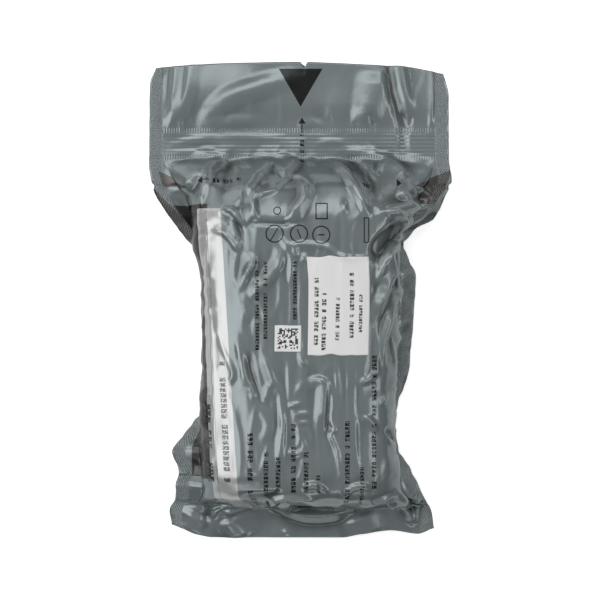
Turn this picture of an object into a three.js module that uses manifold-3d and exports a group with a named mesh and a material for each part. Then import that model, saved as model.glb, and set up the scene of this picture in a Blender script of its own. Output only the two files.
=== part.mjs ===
// A vacuum-sealed emergency trauma bandage, lying on its back with its printed front up.
// Two webs of laminate film are heat-sealed round a rolled elastic wrap. The pumped-out film
// grips the roll and gathers into folds, the side seals bend down as fins, and an open header
// stands past the top seal. Two labels lie on the front web.
// Millimetres: +X is the width, +Y runs towards the header, +Z is up, and z = 0 is the table.
import * as THREE from "three";
import { mergeVertices } from "three/addons/utils/BufferGeometryUtils.js";
import Module from "manifold-3d";

const wasm = await Module();
wasm.setup();

// Driving dimensions: the roll of wrap inside
const ROLL_WIDTH = 63.5;
const ROLL_LENGTH = 98;
const ROLL_THICKNESS = 26.4;
const ROLL_END_ROUND = 7;
const ROLL_SQUARE = 3.6; // exponent of the roll's outline, a boxy oval
const ROLL_CLEARANCE = 1.4; // round the roll's sides and over its top
const ROLL_END_CLEARANCE = 1.6; // past each end of the roll

// Driving dimensions: the pouch, flat across and zone by zone along it
const WEB_WIDTH = 104.6;
const SIDE_SEAL = 4.9;
const BOTTOM_SEAL = 10.4;
const LOWER_SLOPE = 7.3;
const UPPER_SLOPE = 12.8;
const TOP_SEAL = 9.4;
const HEADER_HEIGHT = 23.9;
const FILM = 0.6;
const GAP = 0.3;

// Driving dimensions: the tear notch, the side nicks, the labels, the closure clip and the folds
const NOTCH_WIDTH = 2.2;
const NOTCH_DEPTH = 2.4;
const NOTCH_X = 1.4;
const NICK_WIDTH = 2;
const NICK_DEPTH = 1.6;
const NICK_AT = 0.24; // share of the upper slope
const LABEL_WIDTH = 20.8;
const LABEL_HEIGHT = 33.6;
const LABEL_FILM = 0.3;
const CODE_SIZE = 9;
const CLIP_WIDTH = 7.5;
const CLIP_LENGTH = 19;
const CLIP_THICKNESS = 1.1;
const CLIP_WINDOW = 3.2;
const CLIP_WINDOW_STEP = 7.6; // between the middles of its two windows
const FOLD_HEIGHT = 1.2;
const FOLD_WIDTH = 2.4;

// Where the labels and the clip lie: x as a share of half the body, y as a share of the body
const DATA_LABEL_AT = { x: 0.4, y: 0.62 };
const CODE_LABEL_AT = { x: -0.125, y: 0.51 };
const CLIP_AT = 0.21;

// Facets of the pieces
const FIN_COLUMNS = 2;
const FRONT_COLUMNS = 32;
const BACK_COLUMNS = 16;
const CURVE_STEPS = 240;
const UNDERSIDE_CUT = 1.12; // cuts the lower side off flat where the pouch lies on the table
const LEAST_COSINE = 0.6; // limits how far a wall's corner reaches at a sharp crease
const ROLL_SIDES = 28;
const ROLL_END_RINGS = 4;
const FOLD_STEPS = 16;

// What follows from the dimensions
const BODY_LENGTH = ROLL_LENGTH + 2 * ROLL_END_CLEARANCE;
const ROLL_HALF = ROLL_WIDTH / 2 + ROLL_CLEARANCE;
const WEB_HALF = WEB_WIDTH / 2 - SIDE_SEAL;
const MARGIN = WEB_HALF - ROLL_HALF;
const LOW = FILM + GAP / 2; // height of the contact surface where the pouch lies flat
const ROLL_BASE = FILM + GAP;
const DEPTH = ROLL_BASE + ROLL_THICKNESS + ROLL_CLEARANCE - LOW;

// Zones along the pouch, from the bottom edge up, with the rows of facets in each
const ZONES = [
  { zone: "bottomSeal", length: BOTTOM_SEAL, rows: 3 },
  { zone: "lowerSlope", length: LOWER_SLOPE, rows: 3 },
  { zone: "body", length: BODY_LENGTH, rows: 24 },
  { zone: "upperSlope", length: UPPER_SLOPE, rows: 5 },
  { zone: "topSeal", length: TOP_SEAL, rows: 3 },
  { zone: "header", length: HEADER_HEIGHT, rows: 6 },
];
const PACK_LENGTH = ZONES.reduce((sum, { length }) => sum + length, 0);
let zoneStart = -PACK_LENGTH / 2;
for (const row of ZONES) {
  row.start = zoneStart;
  zoneStart += row.length;
}

function yOf(zone, at) {
  const row = ZONES.find((candidate) => candidate.zone === zone);
  return row.start + at * row.length;
}

// Cross-sections. left and right say how far the body spreads on each side, from 0, tight round
// the roll, to 1, the flat web. level is the height of the seals and rise what stands above it, as
// shares of the packed depth; hang is the share of level by which the back web hangs below it.
// square is the exponent of the outline: 2 is an ellipse.
const SECTIONS = [
  { zone: "bottomSeal", at: 0, left: 0.47, right: 0.59, rise: 0, level: 0.22, hang: 0, square: 2 },
  { zone: "bottomSeal", at: 1, left: 0.225, right: 0.4, rise: 0, level: 0.295, hang: 0, square: 2 },
  { zone: "lowerSlope", at: 0.5, left: 0, right: 0.2, rise: 0.34, level: 0.35, hang: 0.66, square: 2.4 },
  { zone: "body", at: 0, left: -0.03, right: 0.1, rise: 0.545, level: 0.385, hang: 0.92, square: 3 },
  { zone: "body", at: 0.045, left: 0.01, right: 0.06, rise: 0.58, level: 0.42, hang: 1, square: 3.4 },
  { zone: "body", at: 0.175, left: 0.04, right: -0.07, rise: 0.57, level: 0.43, hang: 1, square: 3.5 },
  { zone: "body", at: 0.28, left: 0.065, right: -0.07, rise: 0.57, level: 0.43, hang: 1, square: 3.5 },
  { zone: "body", at: 0.4, left: 0, right: -0.03, rise: 0.57, level: 0.43, hang: 1, square: 3.5 },
  { zone: "body", at: 0.7, left: 0.01, right: 0.04, rise: 0.57, level: 0.43, hang: 1, square: 3.5 },
  { zone: "body", at: 0.83, left: 0.22, right: 0.03, rise: 0.57, level: 0.43, hang: 1, square: 3.2 },
  { zone: "body", at: 0.91, left: 0.25, right: 0.3, rise: 0.565, level: 0.43, hang: 1, square: 3 },
  { zone: "body", at: 1, left: 0.36, right: 0.55, rise: 0.46, level: 0.43, hang: 0.91, square: 2.5 },
  { zone: "upperSlope", at: 0.3, left: 0.6, right: 0.72, rise: 0.29, level: 0.43, hang: 0.67, square: 2.2 },
  { zone: "upperSlope", at: 0.68, left: 0.84, right: 0.88, rise: 0.1, level: 0.43, hang: 0.26, square: 2 },
  { zone: "upperSlope", at: 1, left: 1, right: 0.93, rise: 0, level: 0.42, hang: 0, square: 2 },
  { zone: "topSeal", at: 1, left: 1, right: 0.93, rise: 0, level: 0.4, hang: 0, square: 2 },
  { zone: "header", at: 0.4, left: 1, right: 0.93, rise: 0.05, level: 0.37, hang: 0, square: 2 },
  { zone: "header", at: 1, left: 1, right: 0.93, rise: 0.07, level: 0.31, hang: 0, square: 2 },
];

// The fins that the side seals make. leave is the angle round the section, below its widest
// point, at which the fin leaves the body. reach is its width past the seal's own, as a share of
// the margin. bend is the angle at which it hangs below level.
const LEFT_FIN = [
  { zone: "bottomSeal", at: 0, leave: 0, reach: 0, bend: 10 },
  { zone: "bottomSeal", at: 1, leave: 0, reach: 0.27, bend: 8 },
  { zone: "body", at: 0, leave: 0, reach: 0.39, bend: 5 },
  { zone: "body", at: 0.045, leave: 4, reach: 0.27, bend: 10 },
  { zone: "body", at: 0.12, leave: 4, reach: 0.42, bend: 8 },
  { zone: "body", at: 0.17, leave: 8, reach: 0.19, bend: 15 },
  { zone: "body", at: 0.27, leave: 24, reach: -0.08, bend: 72 },
  { zone: "body", at: 0.78, leave: 24, reach: -0.08, bend: 74 },
  { zone: "body", at: 0.863, leave: 12, reach: 0.02, bend: 32 },
  { zone: "body", at: 0.95, leave: 3, reach: 0.33, bend: 8 },
  { zone: "body", at: 1, leave: 0, reach: 0.47, bend: 5 },
  { zone: "upperSlope", at: 0.27, leave: 0, reach: 0.34, bend: 4 },
  { zone: "upperSlope", at: 0.68, leave: 0, reach: 0.15, bend: 2 },
  { zone: "upperSlope", at: 1, leave: 0, reach: 0, bend: 0 },
  { zone: "header", at: 0.74, leave: 0, reach: -0.02, bend: 0 },
  { zone: "header", at: 1, leave: 0, reach: -0.16, bend: 0 },
];
const RIGHT_FIN = [
  { zone: "bottomSeal", at: 0, leave: 0, reach: 0.02, bend: 10 },
  { zone: "bottomSeal", at: 1, leave: 0, reach: 0.1, bend: 8 },
  { zone: "body", at: 0, leave: 4, reach: 0.12, bend: 6 },
  { zone: "body", at: 0.045, leave: 8, reach: 0.03, bend: 25 },
  { zone: "body", at: 0.12, leave: 20, reach: -0.02, bend: 52 },
  { zone: "body", at: 0.25, leave: 24, reach: -0.04, bend: 57 },
  { zone: "body", at: 0.3, leave: 20, reach: 0, bend: 48 },
  { zone: "body", at: 0.39, leave: 14, reach: 0.05, bend: 20 },
  { zone: "body", at: 0.5, leave: 12, reach: 0.1, bend: 15 },
  { zone: "body", at: 0.72, leave: 12, reach: 0.15, bend: 15 },
  { zone: "body", at: 0.774, leave: 14, reach: 0.05, bend: 28 },
  { zone: "body", at: 0.835, leave: 18, reach: 0, bend: 52 },
  { zone: "body", at: 0.873, leave: 12, reach: 0.04, bend: 30 },
  { zone: "body", at: 0.915, leave: 4, reach: 0.31, bend: 10 },
  { zone: "body", at: 1, leave: 0, reach: 0.335, bend: 5 },
  { zone: "upperSlope", at: 0.27, leave: 0, reach: 0.29, bend: 4 },
  { zone: "upperSlope", at: 0.68, leave: 0, reach: 0.105, bend: 2 },
  { zone: "upperSlope", at: 1, leave: 0, reach: 0.02, bend: 0 },
  { zone: "header", at: 0.6, leave: 0, reach: 0.02, bend: 0 },
  { zone: "header", at: 1, leave: 0, reach: -0.12, bend: 0 },
];

// Edges of the pouch: in is how far the edge draws in at a share x of half the web, as a share
// of the seal's or the header's height.
const BOTTOM_EDGE = [
  { x: -0.86, in: 0.42 },
  { x: -0.76, in: 0.27 },
  { x: -0.68, in: 0.1 },
  { x: -0.58, in: 0 },
  { x: 0.28, in: 0 },
  { x: 0.4, in: 0.14 },
  { x: 0.6, in: 0.23 },
  { x: 0.78, in: 0.12 },
  { x: 0.88, in: 0.3 },
];
const TOP_EDGE = [
  { x: -1, in: 0.09 },
  { x: -0.5, in: 0.02 },
  { x: 0, in: 0 },
  { x: 0.45, in: 0.04 },
  { x: 0.7, in: 0.07 },
  { x: 0.95, in: 0.17 },
];

// Folds of the front web over the roll. x is a share of half the body and y a share of the body
// from the roll's foot up; high is a share of FOLD_HEIGHT, and wide of FOLD_WIDTH.
const BODY_FOLDS = [
  { name: "left_gather", path: [[-0.8, 1.12], [-0.96, 1.02], [-0.99, 0.88]], high: 0.6, wide: 1 },
  { name: "left_streak", path: [[-0.33, 1.12], [-0.5, 1.07], [-0.66, 1]], high: 1, wide: 1.3 },
  { name: "left_hollow", path: [[-0.7, 1.09], [-0.74, 1.0]], high: -0.5, wide: 1.3 },
  { name: "centre_arch", path: [[-0.14, 1.04], [0.12, 1.01], [-0.08, 0.91]], high: 0.7, wide: 1 },
  { name: "right_main", path: [[0.31, 1.11], [0.52, 1.04], [0.71, 0.94]], high: 1, wide: 1 },
  { name: "right_hollow", path: [[0.62, 1.06], [0.85, 0.98]], high: -0.5, wide: 1.6 },
  { name: "right_shoulder", path: [[0.87, 0.94], [1.3, 0.98]], high: 0.8, wide: 1 },
  { name: "pad_edge", path: [[-0.56, 0.9], [0, 0.9]], high: -0.6, wide: 1 },
  { name: "wrap_edge", path: [[0.03, 0.83], [0.38, 0.79], [0.72, 0.785]], high: 0.45, wide: 1 },
  { name: "right_side_ridge", path: [[0.91, 0.81], [0.84, 0.6]], high: 0.7, wide: 1 },
  { name: "lower_left_valley", path: [[-0.6, 0.5], [-0.52, 0.26]], high: -0.5, wide: 1.5 },
  { name: "left_rib", path: [[-0.2, 0.4], [-0.17, 0.06]], high: 0.55, wide: 1 },
  { name: "middle_rib", path: [[0.22, 0.38], [0.24, 0.2]], high: 0.8, wide: 1.2 },
  { name: "middle_groove", path: [[0.34, 0.4], [0.35, 0.2], [0.42, 0.04]], high: -0.6, wide: 1 },
  { name: "right_groove", path: [[0.52, 0.44], [0.54, 0.06]], high: -0.45, wide: 1 },
  { name: "clip_bump", path: [[0, 0.29], [0, 0.13]], high: 0.9, wide: 1.7 },
];

// Folds of the header: x is a share of half the web, y of the header from the top seal up.
const HEADER_FOLDS = [
  { name: "left_pleat", path: [[-0.82, 0.95], [-0.9, 0.1]], high: 0.8, wide: 1 },
  { name: "left_swell", path: [[-0.62, 0.05], [-0.45, 0.5], [-0.1, 0.78]], high: 0.6, wide: 2 },
  { name: "right_swell", path: [[0.48, 0.85], [0.42, 0.1]], high: 0.6, wide: 2.2 },
  { name: "right_crease", path: [[0.61, 1], [0.66, 0.05]], high: 0.7, wide: 1.1 },
];

// A smooth curve through one column of a table, with no overshoot between its rows.
function follow(rows, key, position) {
  const xs = rows.map(position);
  const ys = rows.map((row) => row[key]);
  const slopes = xs.slice(1).map((x, i) => (ys[i + 1] - ys[i]) / (x - xs[i]));
  const tangents = ys.map((_, i) => {
    const before = slopes[i - 1] ?? slopes[i];
    const after = slopes[i] ?? before;
    return before * after <= 0 ? 0 : (2 * before * after) / (before + after);
  });
  return (x) => {
    if (x <= xs[0]) return ys[0];
    if (x >= xs.at(-1)) return ys.at(-1);
    const i = xs.findIndex((value) => value > x) - 1;
    const step = xs[i + 1] - xs[i];
    const t = (x - xs[i]) / step;
    const rise = ys[i + 1] - ys[i];
    const bow = t * (1 - t) * ((1 - t) * (tangents[i] * step - rise) + t * (rise - tangents[i + 1] * step));
    return ys[i] + t * rise + bow;
  };
}

// Every column of a table as a curve along Y, read together as one row.
function table(rows) {
  const keys = Object.keys(rows[0]).filter((key) => key !== "zone" && key !== "at");
  const curves = keys.map((key) => [key, follow(rows, key, (row) => yOf(row.zone, row.at))]);
  return (y) => Object.fromEntries(curves.map(([key, curve]) => [key, curve(y)]));
}

const sectionAt = table(SECTIONS);
const finAt = { left: table(LEFT_FIN), right: table(RIGHT_FIN) };
const bottomEdge = follow(BOTTOM_EDGE, "in", (row) => row.x);
const topEdge = follow(TOP_EDGE, "in", (row) => row.x);

// The closed outline of the packed body at angle degrees, 0 at the right side and 90 on top.
function outlinePoint(section, angle) {
  const radians = (angle * Math.PI) / 180;
  const power = 2 / section.square;
  const across = Math.abs(Math.cos(radians)) ** power;
  const up = Math.abs(Math.sin(radians)) ** power;
  const spread = Math.cos(radians) > 0 ? section.right : -section.left;
  const side = Math.cos(radians) > 0 ? ROLL_HALF : -ROLL_HALF;
  const height = Math.sin(radians) >= 0
    ? section.level + section.rise * up
    : section.level * (1 - section.hang * Math.min(1, UNDERSIDE_CUT * up));
  return new THREE.Vector2((side + spread * MARGIN) * across, LOW + height * DEPTH);
}

// count + 1 points spread evenly along the outline between two angles.
function outlineRun(section, from, to, count) {
  const fine = Array.from({ length: CURVE_STEPS + 1 }, (_, i) =>
    outlinePoint(section, from + ((to - from) * i) / CURVE_STEPS));
  const lengths = [0];
  for (let i = 1; i < fine.length; i++) lengths.push(lengths[i - 1] + fine[i].distanceTo(fine[i - 1]));
  return Array.from({ length: count + 1 }, (_, k) => {
    const target = (lengths.at(-1) * k) / count;
    const i = k === count ? CURVE_STEPS - 1 : lengths.findIndex((value) => value > target) - 1;
    return fine[i].clone().lerp(fine[i + 1], (target - lengths[i]) / (lengths[i + 1] - lengths[i]));
  });
}

// The points of a fin from the body out to the seal's edge.
function finRun(root, fin, side) {
  const width = SIDE_SEAL + fin.reach * MARGIN;
  const bend = (fin.bend * Math.PI) / 180;
  const tip = new THREE.Vector2(root.x + side * width * Math.cos(bend), root.y - width * Math.sin(bend));
  return Array.from({ length: FIN_COLUMNS + 1 }, (_, i) => root.clone().lerp(tip, i / FIN_COLUMNS));
}

// One web's section, fin tip to fin tip from left to right, as points (x, z).
function webSection(y, front, columns) {
  const section = sectionAt(y);
  const left = finAt.left(y);
  const right = finAt.right(y);
  const start = front ? 180 + left.leave : -180 + left.leave;
  const run = outlineRun(section, start, -right.leave, columns);
  const leftFin = finRun(run[0], left, -1).reverse();
  const rightFin = finRun(run.at(-1), right, 1);
  return [...leftFin, ...run.slice(1, -1), ...rightFin];
}

// How far the pouch's own edges draw in at (x, y).
function edgeShift(x, y) {
  const share = x / (WEB_WIDTH / 2);
  const seal = 1 - (y - yOf("bottomSeal", 0)) / BOTTOM_SEAL;
  const header = (y - yOf("header", 0)) / HEADER_HEIGHT;
  if (seal > 0) return seal * bottomEdge(share) * BOTTOM_SEAL;
  if (header > 0) return -header * topEdge(share) * HEADER_HEIGHT;
  return 0;
}

// Distance from a point to a path, and the share of the path at which it is nearest.
function nearPath(point, path) {
  const curve = new THREE.SplineCurve(path);
  let nearest = { distance: Infinity, share: 0 };
  for (let i = 0; i <= FOLD_STEPS; i++) {
    const share = i / FOLD_STEPS;
    const distance = curve.getPoint(share).distanceTo(point);
    if (distance < nearest.distance) nearest = { distance, share };
  }
  return nearest;
}

// Folds of a table with their paths in millimetres.
function placed(folds, half, foot, length) {
  return folds.map((fold) => ({
    ...fold,
    path: fold.path.map(([x, y]) => new THREE.Vector2(x * half, foot + y * length)),
  }));
}

const folds = [
  ...placed(BODY_FOLDS, ROLL_HALF, yOf("body", 0), BODY_LENGTH),
  ...placed(HEADER_FOLDS, WEB_WIDTH / 2, yOf("header", 0), HEADER_HEIGHT),
];

// Height of the front web's folds over (x, y), tapering to half at each fold's ends.
function relief(x, y) {
  const point = new THREE.Vector2(x, y);
  let height = 0;
  for (const fold of folds) {
    const { distance, share } = nearPath(point, fold.path);
    const taper = (1 + Math.sin(Math.PI * share)) / 2;
    height += fold.high * FOLD_HEIGHT * taper * Math.exp(-((distance / (fold.wide * FOLD_WIDTH)) ** 2));
  }
  return height;
}

// Stations along Y: every zone's ends and its rows between them.
const stations = ZONES.flatMap(({ zone, rows }) =>
  Array.from({ length: rows }, (_, i) => yOf(zone, i / rows)));
stations.push(yOf("header", 1));

// The contact surface of a web as a grid of points, a row for each station.
function webGrid(front, columns) {
  return stations.map((y) =>
    webSection(y, front, columns).map(({ x, y: z }) => new THREE.Vector3(x, y + edgeShift(x, y), z)));
}

// Outward offsets of a grid for a wall of even thickness: the mean of the facets' normals on
// either side of a column, lengthened at a crease.
function gridNormals(grid, front) {
  return grid.map((row, i) => {
    const along = (j) => grid[Math.min(i + 1, grid.length - 1)][j].clone().sub(grid[Math.max(i - 1, 0)][j]);
    const facets = row.slice(1).map((point, j) =>
      point.clone().sub(row[j]).cross(along(j).add(along(j + 1))).normalize());
    return row.map((_, j) => {
      const before = facets[Math.max(j - 1, 0)];
      const after = facets[Math.min(j, facets.length - 1)];
      const normal = before.clone().add(after).normalize();
      return normal.multiplyScalar((front ? 1 : -1) / Math.max(LEAST_COSINE, normal.dot(before)));
    });
  });
}

// A grid moved along its normals by a distance, which may be a function of the point.
function offset(grid, normals, distance) {
  return grid.map((row, i) =>
    row.map((point, j) => {
      const amount = typeof distance === "function" ? distance(point) : distance;
      return point.clone().addScaledVector(normals[i][j], amount);
    }));
}

function indexed(positions, index) {
  const geometry = new THREE.BufferGeometry();
  geometry.setAttribute("position", new THREE.Float32BufferAttribute(positions, 3));
  geometry.setIndex(index);
  return geometry;
}

// A closed wall between an outer grid and an inner one. The outer grid's rows run along +Y and
// its columns along +X, seen from outside; flip is for a web seen from below.
function wall(outer, inner, flip) {
  const rows = outer.length;
  const columns = outer[0].length;
  const positions = [...outer.flat(), ...inner.flat()].flatMap((point) => point.toArray());
  const index = [];
  const at = (layer, i, j) => layer * rows * columns + i * columns + j;
  const quad = (a, b, c, d) => index.push(...(flip ? [a, c, b, a, d, c] : [a, b, c, a, c, d]));
  for (let i = 0; i < rows - 1; i++) {
    for (let j = 0; j < columns - 1; j++) {
      quad(at(0, i, j), at(0, i, j + 1), at(0, i + 1, j + 1), at(0, i + 1, j));
      quad(at(1, i, j), at(1, i + 1, j), at(1, i + 1, j + 1), at(1, i, j + 1));
    }
    quad(at(0, i + 1, 0), at(1, i + 1, 0), at(1, i, 0), at(0, i, 0));
    quad(at(0, i, columns - 1), at(1, i, columns - 1), at(1, i + 1, columns - 1), at(0, i + 1, columns - 1));
  }
  for (let j = 0; j < columns - 1; j++) {
    quad(at(0, 0, j), at(1, 0, j), at(1, 0, j + 1), at(0, 0, j + 1));
    quad(at(0, rows - 1, j + 1), at(1, rows - 1, j + 1), at(1, rows - 1, j), at(0, rows - 1, j));
  }
  return indexed(positions, index);
}

// three.js geometry to a manifold-3d solid, and back.
function toSolid(geometry) {
  const plain = geometry.clone();
  plain.deleteAttribute("normal");
  plain.deleteAttribute("uv");
  const merged = mergeVertices(plain);
  const vertProperties = merged.attributes.position.array;
  const triVerts = new Uint32Array(merged.index.array);
  return new wasm.Manifold(new wasm.Mesh({ numProp: 3, vertProperties, triVerts }));
}

function toGeometry(solid) {
  const { vertProperties, triVerts } = solid.getMesh();
  const geometry = new THREE.BufferGeometry();
  geometry.setAttribute("position", new THREE.BufferAttribute(new Float32Array(vertProperties), 3));
  geometry.setIndex(new THREE.BufferAttribute(new Uint32Array(triVerts), 1));
  return geometry;
}

// A wedge through the whole pouch, its point at (x, y) and its mouth widening along direction.
function wedge(x, y, direction, width, depth) {
  const mouth = 2 * depth;
  const shape = new THREE.Shape([
    new THREE.Vector2(0, 0),
    new THREE.Vector2(mouth, -(width * mouth) / depth / 2),
    new THREE.Vector2(mouth, (width * mouth) / depth / 2),
  ]);
  const height = 2 * DEPTH;
  const geometry = new THREE.ExtrudeGeometry(shape, { depth: height, bevelEnabled: false });
  geometry.translate(0, 0, -height / 4);
  geometry.rotateZ(direction);
  geometry.translate(x, y, 0);
  return geometry;
}

// The tear notch in the header's top edge and the nick in each side seal below the top seal.
function tearCuts() {
  const nickY = yOf("upperSlope", NICK_AT);
  const section = sectionAt(nickY);
  const finTip = (side, fin) =>
    ROLL_HALF + section[side] * MARGIN + SIDE_SEAL + fin.reach * MARGIN - NICK_DEPTH;
  return [
    wedge(NOTCH_X, yOf("header", 1) - NOTCH_DEPTH, Math.PI / 2, NOTCH_WIDTH, NOTCH_DEPTH),
    wedge(finTip("right", finAt.right(nickY)), nickY, 0, NICK_WIDTH, NICK_DEPTH),
    wedge(-finTip("left", finAt.left(nickY)), nickY, Math.PI, NICK_WIDTH, NICK_DEPTH),
  ].map(toSolid);
}

// Materials
const filmPrint = new THREE.MeshStandardMaterial({ color: 0x6e797a, roughness: 0.32, metalness: 0.1 });
const filmBack = new THREE.MeshStandardMaterial({ color: 0x5c5b59, roughness: 0.4, metalness: 0.1 });
const wrapCloth = new THREE.MeshStandardMaterial({ color: 0x6b6f52, roughness: 0.95, metalness: 0 });
const labelPaper = new THREE.MeshStandardMaterial({ color: 0xe4e4e4, roughness: 0.6, metalness: 0 });
const clipPlastic = new THREE.MeshStandardMaterial({ color: 0x4c5040, roughness: 0.5, metalness: 0 });

const pack = new THREE.Group();

function addPiece(name, geometry, material) {
  const mesh = new THREE.Mesh(geometry, material);
  mesh.name = name;
  pack.add(mesh);
  return mesh;
}

// The two webs of film
function makeWeb(front, columns) {
  const grid = webGrid(front, columns);
  const normals = gridNormals(grid, front);
  const raised = front ? offset(grid, normals, ({ x, y }) => relief(x, y)) : grid;
  const inner = offset(raised, normals, GAP / 2);
  const outer = offset(raised, normals, GAP / 2 + FILM);
  const solid = tearCuts().reduce((film, cut) => film.subtract(cut), toSolid(wall(outer, inner, !front)));
  return { outer, normals, geometry: toGeometry(solid) };
}

const frontWeb = makeWeb(true, FRONT_COLUMNS);
const backWeb = makeWeb(false, BACK_COLUMNS);
addPiece("front_web", frontWeb.geometry, filmPrint);
addPiece("back_web", backWeb.geometry, filmBack);

// Labels: a patch of the front web's own facets, lifted off by the gap
function webAt(grid, i, j) {
  const [row, column] = [Math.floor(i), Math.floor(j)];
  const lower = grid[row][column].clone().lerp(grid[row][column + 1], j - column);
  const upper = grid[row + 1][column].clone().lerp(grid[row + 1][column + 1], j - column);
  return lower.lerp(upper, i - row);
}

// Where a value falls in a rising list, as an index with a fraction.
function indexOf(values, value) {
  const i = values.findIndex((candidate) => candidate > value) - 1;
  return i + (value - values[i]) / (values[i + 1] - values[i]);
}

// The whole indexes between two fractional ones, with those two at the ends.
function linesBetween(from, to) {
  const whole = [];
  for (let i = Math.ceil(from); i < to; i++) whole.push(i);
  return [from, ...whole, to];
}

function label(centreX, centreY, width, height) {
  const { outer, normals } = frontWeb;
  const middle = Math.round(outer[0].length / 2);
  const ys = outer.map((row) => row[middle].y);
  const xs = outer[Math.round(indexOf(ys, centreY))].map((point) => point.x);
  const rows = linesBetween(indexOf(ys, centreY - height / 2), indexOf(ys, centreY + height / 2));
  const columns = linesBetween(indexOf(xs, centreX - width / 2), indexOf(xs, centreX + width / 2));
  const lifted = (distance) => rows.map((i) => columns.map((j) =>
    webAt(outer, i, j).addScaledVector(webAt(normals, i, j).normalize(), distance)));
  return wall(lifted(GAP + LABEL_FILM), lifted(GAP), false);
}

const dataLabel = label(DATA_LABEL_AT.x * ROLL_HALF, yOf("body", DATA_LABEL_AT.y), LABEL_WIDTH, LABEL_HEIGHT);
const codeLabel = label(CODE_LABEL_AT.x * ROLL_HALF, yOf("body", CODE_LABEL_AT.y), CODE_SIZE, CODE_SIZE);
addPiece("data_label", dataLabel, labelPaper);
addPiece("code_label", codeLabel, labelPaper);

// The roll of elastic wrap: a boxy oval, its ends rounded over
function rollGeometry() {
  const foot = yOf("body", 0) + ROLL_END_CLEARANCE;
  const quarter = Array.from({ length: ROLL_END_RINGS + 1 }, (_, i) => (i * Math.PI) / 2 / ROLL_END_RINGS);
  const rings = [
    ...quarter.map((angle) => ({
      y: foot + ROLL_END_ROUND * (1 - Math.cos(angle)),
      inset: ROLL_END_ROUND * (1 - Math.sin(angle)),
    })),
    ...quarter.toReversed().map((angle) => ({
      y: foot + ROLL_LENGTH - ROLL_END_ROUND * (1 - Math.cos(angle)),
      inset: ROLL_END_ROUND * (1 - Math.sin(angle)),
    })),
  ];
  const middle = ROLL_BASE + ROLL_THICKNESS / 2;
  const bowed = (value) => Math.sign(value) * Math.abs(value) ** (2 / ROLL_SQUARE);
  const positions = rings.flatMap(({ y, inset }) =>
    Array.from({ length: ROLL_SIDES }, (_, j) => ((j + 0.5) * 2 * Math.PI) / ROLL_SIDES).flatMap((angle) => [
      (ROLL_WIDTH / 2 - inset) * bowed(Math.cos(angle)),
      y,
      middle + (ROLL_THICKNESS / 2 - inset) * bowed(Math.sin(angle)),
    ]));
  const index = [];
  const at = (i, j) => i * ROLL_SIDES + (j % ROLL_SIDES);
  const last = rings.length - 1;
  for (let i = 0; i < last; i++) {
    for (let j = 0; j < ROLL_SIDES; j++) {
      index.push(at(i, j), at(i + 1, j), at(i + 1, j + 1), at(i, j), at(i + 1, j + 1), at(i, j + 1));
    }
  }
  for (let j = 1; j < ROLL_SIDES - 1; j++) {
    index.push(at(0, 0), at(0, j), at(0, j + 1), at(last, 0), at(last, j + 1), at(last, j));
  }
  return indexed(positions, index);
}
addPiece("bandage_roll", rollGeometry(), wrapCloth);

// The closure clip on the roll, whose outline shows through the front web
function clipGeometry() {
  const half = CLIP_WIDTH / 2;
  const straight = CLIP_LENGTH / 2 - half;
  const outline = new THREE.Shape();
  outline.absarc(0, straight, half, 0, Math.PI);
  outline.absarc(0, -straight, half, Math.PI, 2 * Math.PI);
  const edge = CLIP_WINDOW / 2;
  const corners = [[-edge, -edge], [edge, -edge], [edge, edge], [-edge, edge]];
  for (const middle of [-CLIP_WINDOW_STEP / 2, CLIP_WINDOW_STEP / 2]) {
    outline.holes.push(new THREE.Path(corners.map(([x, y]) => new THREE.Vector2(x, middle + y))));
  }
  return new THREE.ExtrudeGeometry(outline, { depth: CLIP_THICKNESS, bevelEnabled: false, curveSegments: 8 });
}
const clip = addPiece("closure_clip", clipGeometry(), clipPlastic);
clip.position.set(0, yOf("body", CLIP_AT), ROLL_BASE + ROLL_THICKNESS + GAP);

export default pack;
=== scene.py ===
"""Visual model of a vacuum-packed trauma bandage that lies on its back, its printed front up.

Two webs of laminate film are sealed round a rolled wrap. The pumped-out film is drawn tight over
the roll, gathers below the top seal, hangs at the sides as sealed fins and stands past the top
seal as an open header. Sizes are in millimetres and the meshes in metres, in the shared frame:
+X is the width, +Y runs towards the header, +Z is up, and z = 0 is the table.
"""

import logging
import math
from dataclasses import dataclass
from enum import Enum

import bpy
import numpy as np
from bpy.types import Material, Node, NodeSocket, Object, ShaderNodeTree
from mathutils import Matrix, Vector, noise


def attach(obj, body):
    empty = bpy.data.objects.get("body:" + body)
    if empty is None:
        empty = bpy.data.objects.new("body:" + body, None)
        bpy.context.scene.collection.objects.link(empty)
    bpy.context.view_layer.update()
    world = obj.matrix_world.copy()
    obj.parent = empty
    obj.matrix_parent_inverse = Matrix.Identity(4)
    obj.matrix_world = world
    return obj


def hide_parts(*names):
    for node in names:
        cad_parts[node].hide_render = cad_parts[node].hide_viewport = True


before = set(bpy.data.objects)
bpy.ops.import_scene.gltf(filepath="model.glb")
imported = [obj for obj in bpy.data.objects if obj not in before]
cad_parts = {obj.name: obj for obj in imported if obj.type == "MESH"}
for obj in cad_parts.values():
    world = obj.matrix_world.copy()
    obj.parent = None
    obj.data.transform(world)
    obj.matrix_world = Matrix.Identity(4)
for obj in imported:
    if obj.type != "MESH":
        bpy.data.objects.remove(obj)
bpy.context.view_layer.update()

MM = 0.001
BODY = "root"
PLACE = "film_place"
# Attribute of crest heights and hollow depths: pale crests, partly rubbed ink and partly a painted
# highlight, and painted shade in hollows.
WEAR_AND_LIGHT = "film_wear_and_light"
LABEL_PLACE = "label_place"

log = logging.getLogger("bandage")
Array = np.ndarray


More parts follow.
